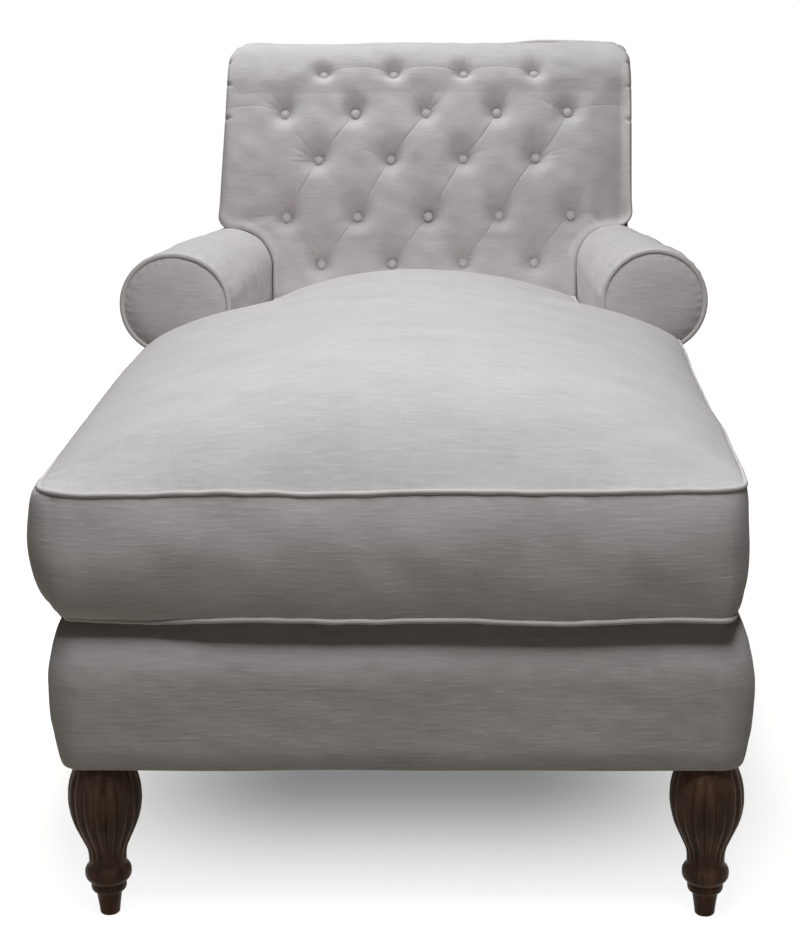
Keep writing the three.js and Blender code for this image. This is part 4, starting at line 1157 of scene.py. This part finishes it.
def make_arm(side, name):
    """An arm's roll, gathered behind its face and cut off by the leaning back."""
    start = ARM_FRONT + FACING_DEPTH + GAP
    stations = np.concatenate([[0, 0.0015, 0.004, 0.008, 0.014], np.linspace(0.022, 0.6, 60),
                               [0.63, 0.66, 0.69, ARM_LENGTH]])
    rings = []
    drift = Drift(31 if side > 0 else 32, 0.07, 0.3)
    fine = Drift(33 if side > 0 else 34, 0.02, 0.06)
    for s in stations:
        line = arm_section(*arm_size(start + s), 0.0, STANDING)
        run = run_along(line, closed=False)
        even = np.linspace(0, run[-1], ARM_POINTS)
        line = np.stack([np.interp(even, run, line[:, i]) for i in (0, 1)], 1)
        along = np.full_like(even, s)
        on_roll = smooth(STANDING + 0.08, STANDING + 0.16, line[:, 1])
        puff = 0.0016 * math.sin(math.pi * min(1, s / ARM_LENGTH)) - 0.0016 * math.exp(-s / 0.003)
        rough = 0.0011 * drift(even, along) + 0.0005 * fine(even, along)
        gather = 0.0011 * np.exp(-s / 0.03) * np.sin(even * 2 * math.pi / 0.019 + 1.5 * np.sin(even * 31))
        move = puff + (rough * smooth(0, 0.02, s) + gather * smooth(0.0, 0.006, s)) * on_roll
        line = line - outward(line, closed=False) * move[:, None]
        # The arm ends against the leaning back
        limit = back_y(line[:, 1], PAD_DEPTH) - 0.0005
        rings.append(np.stack([line[:, 0], start + (limit - start) * (s / ARM_LENGTH), line[:, 1]], 1))
    points = np.array(rings) if side > 0 else mirror(rings)
    uv = np.zeros((len(stations), ARM_POINTS + 1, 2))
    uv[..., 0] = stations[:, None]
    uv[..., 1] = np.append(even, even[-1] + 0.01)
    verts, faces, corners = lattice(points, False, True, uv, flip=side < 0)
    hubs = points[[0, -1]].mean(1)
    verts, faces, corners = capped(verts, faces, corners, ARM_POINTS, hubs)
    obj = make(f"arm_cover_{name}", placed(verts), faces, corners, material=cloth, sharp=60)
    weld(obj)
    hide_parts(f"arm_pad_{name}")


def facing_outline(inset):
    return arm_section(ARM_FRONT_RADIUS, ARM_FRONT_HEIGHT, -inset, STANDING + 0.0005)


def make_facing(side, name):
    """The front face of an arm, and the welt round it."""
    line = evenly(facing_outline(WELT_ROOM - 0.001), 0.004)[::-1]
    points, triangles = finer(*fill(line, 0.009, [0.0015, 0.004, 0.008]))
    d = distance_to(points, line)
    u, v = points.T
    face_y = ARM_FRONT + FACING_DEPTH
    drift = Drift(41 if side > 0 else 42, 0.05, 0.16)
    puff = 0.0095 * (1 - np.exp(-d / 0.013)) + 0.0007 * drift(u, v) * smooth(0, 0.02, d)
    turn = np.arctan2(v - (ARM_FRONT_HEIGHT - ARM_FRONT_RADIUS), u - ARM_INNER - ARM_FRONT_RADIUS)
    pucker = 0.0006 * np.sin(turn * 26 + 2 * np.sin(turn * 5)) * np.exp(-(d / 0.010) ** 2)
    pucker = pucker * smooth(0.001, 0.004, d)
    front = np.stack([u, face_y - 0.0022 - puff - pucker, v], 1)
    verts, faces, loop = closed_sheet(front, points, triangles,
                                      lambda rim: np.insert(rim, 1, face_y - 0.0001, axis=1))
    uvs = np.vstack([points[triangles.ravel()], np.repeat(points[loop], 7, axis=0)])
    if side < 0:
        verts = mirror(verts)
    obj = make(f"arm_face_{name}", placed(verts), faces, uvs, material=cloth_border, sharp=70)
    weld(obj)
    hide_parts(f"arm_facing_{name}")
    line = evenly(facing_outline(WELT + GAP), 0.004, closed=False)
    sway = waves(run_along(line, closed=False), 6, (0.11, 0.19), (0.0005, 0.0008))
    place = np.insert(line, 1, face_y - WELT + sway, axis=1)
    verts, faces, corners = tube(mirror(place) if side < 0 else place, WELT, False)
    welt = make(f"arm_cord_{name}", placed(verts), faces, corners, material=welt_cloth_painted_highlight)
    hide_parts(f"arm_welt_{name}")


# Seat cushion

NECK_X = ARM_INNER - GAP - CUSHION_BULGE
SHOULDER_Y = ARM_FRONT - GAP - CUSHION_BULGE
REAR_EDGE = SEAT_DEPTH - GAP - CUSHION_BULGE
WELT_NOTCH = 0.0048
WELT_SEAT = (WELT + GAP) / math.sqrt(2) - WELT_NOTCH / 2
CUSHION_LOW = STANDING + WELT + WELT_SEAT
CUSHION_HIGH = CUSHION_LOW + CUSHION_THICK


def cushion_outline():
    half = [(CUSHION_HALF, CUSHION_FRONT, 0.034), (CUSHION_HALF, SHOULDER_Y, 0.034),
            (NECK_X, SHOULDER_Y, 0.012), (NECK_X, REAR_EDGE, 0.022)]
    left = [(-x, y, r) for x, y, r in reversed(half)]
    return evenly(rounded(half + left, 10), 0.006)


def cushion_lean(points):
    """Behind the shoulders the cushion gets thinner, and its rear leans with the back."""
    out = np.array(points, float)
    share = np.clip((out[..., 1] - SHOULDER_Y) / (REAR_EDGE - SHOULDER_Y), 0, 1)
    out[..., 2] = STANDING + (out[..., 2] - STANDING) * (1 - share * REAR_DROP / (CUSHION_HIGH - STANDING))
    out[..., 1] += share * math.tan(LEAN) * (out[..., 2] - CUSHION_LOW)
    # The wide part lies a little to the left of the middle
    out[..., 0] -= 0.0065 * (1 - smooth(SHOULDER_Y - 0.35, SHOULDER_Y + 0.05, out[..., 1]))
    return out


def cushion_at(plan, z):
    """Places on the leaning cushion, from a plan and heights."""
    return cushion_lean(np.column_stack([plan, np.broadcast_to(z, len(plan))]))


def side_swell(t, bulge, draw_in, power):
    """How far the boxing stands out from the top seam, at a share t of its height."""
    t = np.asarray(t, float)
    peak = 0.55 - 0.30 * np.clip(power - 0.55, 0, 1)
    half = np.where(t < peak, t / peak, (1 - t) / (1 - peak))
    edge = np.where(t < peak, -draw_in, 0.0)
    below = np.minimum(power, 0.55) * (1 - 0.35 * np.clip(draw_in / 0.014, 0, 1))
    return edge + (bulge - edge) * np.sin(math.pi / 2 * half) ** np.where(t < peak, below, power)


def boxing_shape(points, normal):
    """Bulge, draw-in and power along the outline: full on the left, straighter on the right."""
    front = smooth(0.3, 0.9, -normal[:, 1]) * (points[:, 1] < 0.1)
    beside = points[:, 1] < SHOULDER_Y - 0.02
    left = smooth(0.3, 0.9, -normal[:, 0]) * beside
    right = smooth(0.3, 0.9, normal[:, 0]) * beside
    rest = np.clip(1 - front - left - right, 0, 1)
    total = front + left + right + rest
    under = -0.003 + 0.017 * (1 - smooth(-0.36, -0.12, points[:, 0]))
    bulge = (0.0135 * front + 0.0145 * left + 0.0065 * right + CUSHION_BULGE * rest) / total
    draw_in = (under * front + 0.0350 * left + 0.0110 * right + DRAW_IN * rest) / total
    power = (0.84 * front + 0.37 * left + 0.55 * right + 0.55 * rest) / total
    return bulge, draw_in, power


def swell_along(y, front, rear):
    """The crown's rise along the cushion: gentler from the front seam than from the rear."""
    middle = (front + rear) / 2
    share = np.minimum(1, np.abs((y - middle) / (rear - middle)))
    return (1 - share ** 5) ** np.where(y < middle, 1.12, 0.6)


def swell_across(x, half):
    """The crown's rise across the cushion."""
    return np.clip(1 - (x / half) ** 2, 0, None) ** 0.6


def long_swell(y, front, rear):
    """The rise over the cushion's whole length, which falls a little behind its peak."""
    peak = front + (rear - front) * 0.44
    ahead = swell_along(y, front, 2 * peak - front)
    share = np.clip((y - peak) / (rear - peak), 0, 1)
    return np.where(y < peak, ahead, (1 - 0.28 * share) * (1 - share ** 6) ** 0.6)


def crown_at(x, y):
    """The fuller of two swells: one over the wide front part and one over the whole length."""
    wide = swell_across(x, CUSHION_HALF) * swell_along(y, CUSHION_FRONT, SHOULDER_Y)
    long = swell_across(x, NECK_X) * long_swell(y, CUSHION_FRONT, REAR_EDGE)
    return CROWN * (wide ** 10 + long ** 10) ** 0.1


# The cushion's underside, in from the bottom seam: how far in, and how high
SOLE_STEPS = ((0.008, 0.0016), (0.020, 0.0004), (0.045, 0.0))


def make_cushion():
    """The loose T-shaped cushion: top panel, boxing and bottom panel, then its two welts."""
    line = cushion_outline()
    normal = outward(line)
    run = run_along(line)
    s, total = run[:-1], run[-1]

    def wander(seed, short, long):
        rng = np.random.default_rng(seed)
        out = np.zeros_like(s)
        for _ in range(9):
            waves_round = int(round(total / (short * (long / short) ** rng.random())))
            out += np.sin(2 * math.pi * (waves_round * s / total + rng.random())) / 3
        return out

    ahead = line[:, 1] < 0.06
    sway_top = 0.0017 * wander(51, 0.18, 0.6) * np.where(ahead, 1.0, 0.5) + 0.0003 * wander(52, 0.04, 0.08)
    sway_top -= 0.0030 * (1 - smooth(0.02, 0.16, line[:, 1]))
    sway_out = 0.0010 * wander(53, 0.16, 0.5)
    sway_low = 0.0022 * wander(54, 0.20, 0.6) + 0.0003 * wander(55, 0.04, 0.08)
    bulge, draw_in, power = boxing_shape(line, normal)
    overhang = smooth(0.3, 0.9, -normal[:, 1]) * (line[:, 1] < 0.1)
    top_z = CUSHION_HIGH + sway_top
    low_z = CUSHION_LOW + 0.0012 + np.abs(sway_low) * 0.8 * (1 - overhang) + (sway_low - 0.0045) * overhang
    # Top panel
    points, triangles = finer(*fill(line, 0.016, [0.0025, 0.006, 0.011]))
    x, y = points.T
    d = distance_to(points, line)
    near = nearest_on(line, points)
    follow = np.exp(-(d / 0.03))
    drift = Drift(61, 0.16, 0.6)(x, y) * 0.0015 + Drift(62, 0.05, 0.12)(x, y) * 0.0004
    pucker = 0.0010 * np.sin(s[near] * 2 * math.pi / 0.021 + 2.2 * np.sin(s[near] * 17))
    pucker = pucker * np.exp(-((d - 0.010) / 0.009) ** 2)
    z = CUSHION_HIGH + crown_at(x, y) + sway_top[near] * follow + (drift + pucker) * smooth(0.0, 0.02, d)
    top = cushion_at(points + normal[near] * (sway_out[near] * follow)[:, None], z)
    # Boxing, from the top seam to the bottom seam
    loop = boundary_loop(triangles)
    edge = near[loop]
    seam, seam_normal = points[loop], normal[edge]
    seam_run = run_along(seam, closed=False)
    levels = np.concatenate([[0, 0.02, 0.05], np.linspace(0.09, 0.91, 15), [0.95, 0.98, 1]])[::-1]
    boxing_drift = Drift(71, 0.05, 0.24)
    gathered = 0.0008 * np.sin(seam_run * 2 * math.pi / 0.023 + 2.0 * np.sin(seam_run * 13))
    walls = []
    for t in levels[1:]:
        swell = side_swell(t, bulge[edge], draw_in[edge], power[edge])
        sine = math.sin(math.pi * t)
        wrinkle = boxing_drift(seam_run, np.full_like(seam_run, t * CUSHION_THICK)) * 0.0012 * sine
        at_seams = math.exp(-((1 - t) / 0.12) ** 2) + math.exp(-(t / 0.12) ** 2)
        out = swell + wrinkle + gathered * at_seams * sine + sway_out[edge] * t
        z = low_z[edge] + (top_z[edge] - low_z[edge]) * t
        walls.append(cushion_at(seam + seam_normal * out[:, None], z))
    # Bottom panel: in a little from the seam, then flat on the deck
    for inset, height in SOLE_STEPS:
        inner = seam - seam_normal * (draw_in[edge] + inset)[:, None]
        walls.append(cushion_at(inner, STANDING + height))
    heights = np.concatenate([levels * CUSHION_THICK, [-inset for inset, _ in SOLE_STEPS]])
    run = np.append(seam_run, seam_run[-1] + 0.003)
    wall_faces, wall_cloth, _ = wall_strips(loop, len(top), run, heights)
    sole, sole_triangles = fill(inner, 0.05)
    sole_faces = sole_triangles[:, [0, 2, 1]]
    verts = np.vstack([top] + walls + [cushion_at(sole, STANDING)])
    sole_base = len(verts) - len(sole)
    faces = triangles.tolist() + wall_faces + (sole_faces + sole_base).tolist()
    uvs = np.vstack([points[triangles.ravel()], wall_cloth[:, ::-1] + [0, 2.0], sole[sole_faces.ravel()]])
    obj = make("seat_cushion_cover", placed(verts), faces, uvs, body="cushion", material=cloth, sharp=80)
    obj.data.materials.append(cloth_border)
    index = np.zeros(len(obj.data.polygons), int)
    index[len(triangles):len(triangles) + len(wall_faces)] = 1
    obj.data.polygons.foreach_set("material_index", index)
    weld(obj)
    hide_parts("seat_cushion")
    # Welts along both seams
    for label, z, offset in (("top", top_z, sway_out), ("bottom", low_z, -draw_in)):
        plan = line + normal * (offset + WELT_SEAT + (0.003 * overhang if label == "bottom" else 0))[:, None]
        place = cushion_at(plan, z + (WELT_SEAT if label == "top" else -WELT_SEAT))
        if label == "bottom":
            place[:, 2] = np.maximum(place[:, 2], STANDING + WELT - 0.006 * overhang)
        fat = WELT * 0.84 * (1 + 0.05 * wander(81, 0.02, 0.06))
        verts, faces, corners = tube(place, fat, True)
        cord = make(f"cushion_cord_{label}", placed(verts), faces, corners, body="cushion",
                    material=welt_cloth_painted_highlight)
        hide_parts(f"cushion_{label}_welt")


# Base

PATH_OUT = 0.02
PATH_BACK = 0.0204
BORDER_WIDEN = 1.0135


def make_base():
    """The padded border round the base, from its bottom edge up over the top and down behind the cloth."""
    rear_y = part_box("base_border_rear")[1].y - FOOT_Y - BORDER_BULGE
    # The path runs outside the rails, so that points crowd at the corners, where it is set back to them
    side_x, radius = RAIL_HALF + PATH_OUT, BORDER_CORNER + PATH_OUT
    ahead, behind = RAIL_FRONT - PATH_OUT, rear_y + PATH_OUT
    line = evenly(rounded([(side_x, ahead, radius), (side_x, behind, radius),
                           (-side_x, behind, radius), (-side_x, ahead, radius)], 12), 0.007)
    normal = outward(line)
    run = run_along(line)
    s, total = run[:-1], run[-1]
    shares = np.concatenate([[0, 0.012, 0.03], np.linspace(0.06, 0.68, 16),
                             0.690 + 0.305 * np.sin(np.linspace(0.03, 1.54, 18)), [1]])
    drift = Drift(91, 0.07, 0.4)
    fine = Drift(92, 0.02, 0.05)
    height = DECK_TOP - LEG_TOP
    rng = np.random.default_rng(5)
    sways = sum(np.sin(2 * math.pi * (k * s / total + rng.random())) for k in (5, 9, 14, 22))
    bottom_sway = 0.0010 * sways / 2
    in_front = smooth(0.3, 0.9, -normal[:, 1])
    facing = smooth(0.02, 0.40, -normal[:, 1])
    rings = []
    for t in shares:
        sine = math.sin(math.pi * t)
        edge = 0.010 if t > 0.5 else 0.020
        plain = edge + (BORDER_BULGE - edge) * sine ** 0.7
        # In front the top edge rolls back under the cushion
        over = min(1.0, max(0.0, (t - 0.580) / 0.420))
        rolled = BORDER_BULGE - 0.0050 - 0.0580 * (1 - math.sqrt(1 - over ** 2))
        offset = plain + (max(0.004, min(plain, rolled)) - plain) * in_front
        # What goes in past the rail's face goes straight back, so that the corners don't fold over
        past = max(0.0, 0.004 - rolled) * facing
        level = np.full_like(s, t * height)
        wander = (drift(s, level) * 0.0011 + fine(s, level) * 0.0003) * sine ** 0.5
        plan = line + normal * (offset - PATH_BACK + wander)[:, None]
        z = LEG_TOP + height * t + bottom_sway * (1 - t) ** 3 * 0.6 - 0.0005 * (1 - t) ** 2
        rings.append(np.stack([plan[:, 0] * BORDER_WIDEN, plan[:, 1] + past, z], 1))
    # Over the top edge and down behind the cloth, against the rail
    room = 0.0003
    inner = np.clip(line, [-RAIL_HALF - room, RAIL_FRONT - room], [RAIL_HALF + room, rear_y + room])
    tucks = ((DECK_TOP - 0.001, 0.030), (0.3303, 0), ((DECK_TOP + LEG_TOP) / 2, 0), (LEG_TOP + 0.001, 0))
    for z, back in tucks:
        rings.append(np.stack([inner[:, 0], inner[:, 1] + back * facing, np.full(len(line), z)], 1))
    around = np.concatenate([shares * height, height + np.array([0.014, 0.034, 0.1, 0.18])])
    uv = np.zeros((len(rings) + 1, len(line) + 1, 2))
    uv[..., 0] = run
    uv[..., 1] = np.append(around, around[-1] + 0.014)[:, None]
    verts, faces, corners = lattice(np.array(rings), True, True, uv, flip=True)
    obj = make("base_cover", placed(verts), faces, corners + [0, 3.0], material=cloth_border, sharp=60)
    weld(obj)
    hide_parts("base_border_front", "base_border_rear", "base_border_left", "base_border_right")


DECK_LEANS_BACK = 0.034


def make_deck():
    """The padded deck under the cushion: the solid's own outline with soft edges, in its cloth."""
    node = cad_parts["seat_deck"]
    mesh = node.data.copy()
    mesh.name = "seat_deck_cover"
    mesh.materials.clear()
    mesh.materials.append(cloth_deck)
    obj = bpy.data.objects.new("seat_deck_cover", mesh)
    obj.matrix_world = node.matrix_world.copy()
    bpy.context.scene.collection.objects.link(obj)
    # The top front edge leans back under the border's roll
    low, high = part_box("seat_deck")
    there = obj.matrix_world
    for vertex in mesh.vertices:
        at = there @ vertex.co
        if at.y < low.y + 0.002 and at.z > high.z - 0.002:
            vertex.co = there.inverted() @ Vector((at.x, at.y + DECK_LEANS_BACK, at.z))
    while mesh.uv_layers:
        mesh.uv_layers.remove(mesh.uv_layers[0])
    layer = mesh.uv_layers.new(name="cloth")
    for loop in mesh.loops:
        co = obj.matrix_world @ mesh.vertices[loop.vertex_index].co
        layer.data[loop.index].uv = (co.x, co.y + co.z)
    edges = obj.modifiers.new("edges", "BEVEL")
    edges.width, edges.segments, edges.limit_method = 0.006, 4, "ANGLE"
    mesh.polygons.foreach_set("use_smooth", [True] * len(mesh.polygons))
    mesh.set_sharp_from_angle(angle=math.radians(40))
    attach(obj, "base")
    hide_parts("seat_deck")


# Legs: the profile as shares of the height and of the greatest radius, from the foot up. Each leg stands
# a little to the right of its place.

LEG_RADIUS = 0.040
REEDS = 18
REED_DEPTH = 0.0030
REED_LOW, REED_HIGH = 0.36, 0.97
LEG_SHIFT = {1: 0.0020, -1: 0.0045}
LEG_SHARES = [
    (0, 0.24), (0.008, 0.27), (0.038, 0.285), (0.103, 0.325), (0.148, 0.365), (0.158, 0.45),
    (0.172, 0.48), (0.195, 0.485), (0.208, 0.47), (0.222, 0.54), (0.240, 0.605), (0.262, 0.635),
    (0.284, 0.635), (0.306, 0.60), (0.324, 0.54), (0.342, 0.512), (0.380, 0.515), (0.423, 0.545),
    (0.487, 0.66), (0.551, 0.79), (0.615, 0.905), (0.679, 0.97), (0.744, 1), (0.808, 0.99),
    (0.872, 0.945), (0.936, 0.85), (0.987, 0.74), (1, 0.71),
]


def smooth_profile(shares, count):
    """A monotone cubic through the profile's points, so that the turning is rounded but keeps its beads."""
    h = np.array([p[0] for p in shares])
    r = np.array([p[1] for p in shares])
    slope = np.diff(r) / np.diff(h)
    m = np.zeros_like(r)
    for i in range(1, len(r) - 1):
        if slope[i - 1] * slope[i] > 0:
            m[i] = 2 / (1 / slope[i - 1] + 1 / slope[i])
    m[0], m[-1] = slope[0], slope[-1]
    at = np.unique(np.concatenate([np.linspace(0, 1, count), h]))
    k = np.clip(np.searchsorted(h, at, "right") - 1, 0, len(h) - 2)
    w = h[k + 1] - h[k]
    t = (at - h[k]) / w
    value = ((1 + 2 * t) * (1 - t) ** 2 * r[k] + t * (1 - t) ** 2 * w * m[k]
             + t * t * (3 - 2 * t) * r[k + 1] + t * t * (t - 1) * w * m[k + 1])
    return at, value


def make_front_leg(side, name):
    """A turned leg: its reeds are fullest halfway up the bulb and run out at its ends."""
    low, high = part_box("front_leg_right")
    cx = (low.x + high.x) / 2
    cy = (low.y + high.y) / 2
    top = LEG_TOP - GAP
    at, radius = smooth_profile(LEG_SHARES, 150)
    radius = radius * LEG_RADIUS
    sides = REEDS * 10
    a = 2 * math.pi * np.arange(sides) / sides
    along = np.clip((at - REED_LOW) / (REED_HIGH - REED_LOW), 0, 1)
    depth = REED_DEPTH * np.sin(math.pi * along) ** 0.5
    groove = 1 - np.abs(np.sin(a * REEDS / 2)) ** 0.8
    reach = radius[:, None] - depth[:, None] * groove[None]
    x = (cx + reach * np.cos(a)) * side + LEG_SHIFT[side]
    points = np.stack([x, cy + reach * np.sin(a), np.repeat((at * top)[:, None], sides, 1)], -1)
    verts, faces, corners = lattice(points, False, True, np.zeros((len(at), sides + 1, 2)), flip=side > 0)
    middle = cx * side + LEG_SHIFT[side]
    verts, faces, corners = capped(verts, faces, corners, sides, [[middle, cy, 0], [middle, cy, top]])
    obj = make(f"turned_leg_{name}", verts, faces, None, material=walnut, sharp=50)
    weld(obj, 1e-6)
    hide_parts(f"front_leg_{name}")


def dress_frame():
    """The rigid CAD pieces that stay get their finish."""
    black, tree, shader = nodes_of("black_cloth")
    dial(shader, {"Base Color": (0.012, 0.012, 0.013, 1), "Roughness": 0.95})
    noise = add(tree, "ShaderNodeTexNoise", Scale=900.0, Detail=2.0)
    tree.links.new(add(tree, "ShaderNodeTexCoord").outputs["Object"], noise.inputs["Vector"])
    bumped(tree, shader, noise.outputs[0], 0.4, 0.0004)
    steel, tree, shader = nodes_of("spring_steel")
    dial(shader, {"Base Color": (0.25, 0.25, 0.26, 1), "Metallic": 1.0})
    noise = add(tree, "ShaderNodeTexNoise", Scale=140.0, Detail=3.0)
    worn = add(tree, "ShaderNodeMapRange")
    dial(worn, {"To Min": 0.28, "To Max": 0.5})
    tree.links.new(noise.outputs[0], worn.inputs["Value"])
    tree.links.new(worn.outputs[0], shader.inputs["Roughness"])
    for name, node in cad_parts.items():
        if node.hide_render:
            continue
        if name.startswith("rear_leg"):
            material = walnut
            bevel = node.modifiers.new("edges", "BEVEL")
            bevel.width, bevel.segments = 0.0025, 3
        elif name == "dust_cover":
            material = black
        elif "spring" in name:
            material = steel
        else:
            material = timber
        node.data.materials.clear()
        node.data.materials.append(material)


make_camera()
make_light()
make_floor()
make_back()
make_buttons()
make_outside_back()
both_sides(make_arm)
both_sides(make_facing)
make_cushion()
make_base()
make_deck()
both_sides(make_front_leg)
dress_frame()

scene = bpy.context.scene
scene.view_settings.view_transform = "Standard"
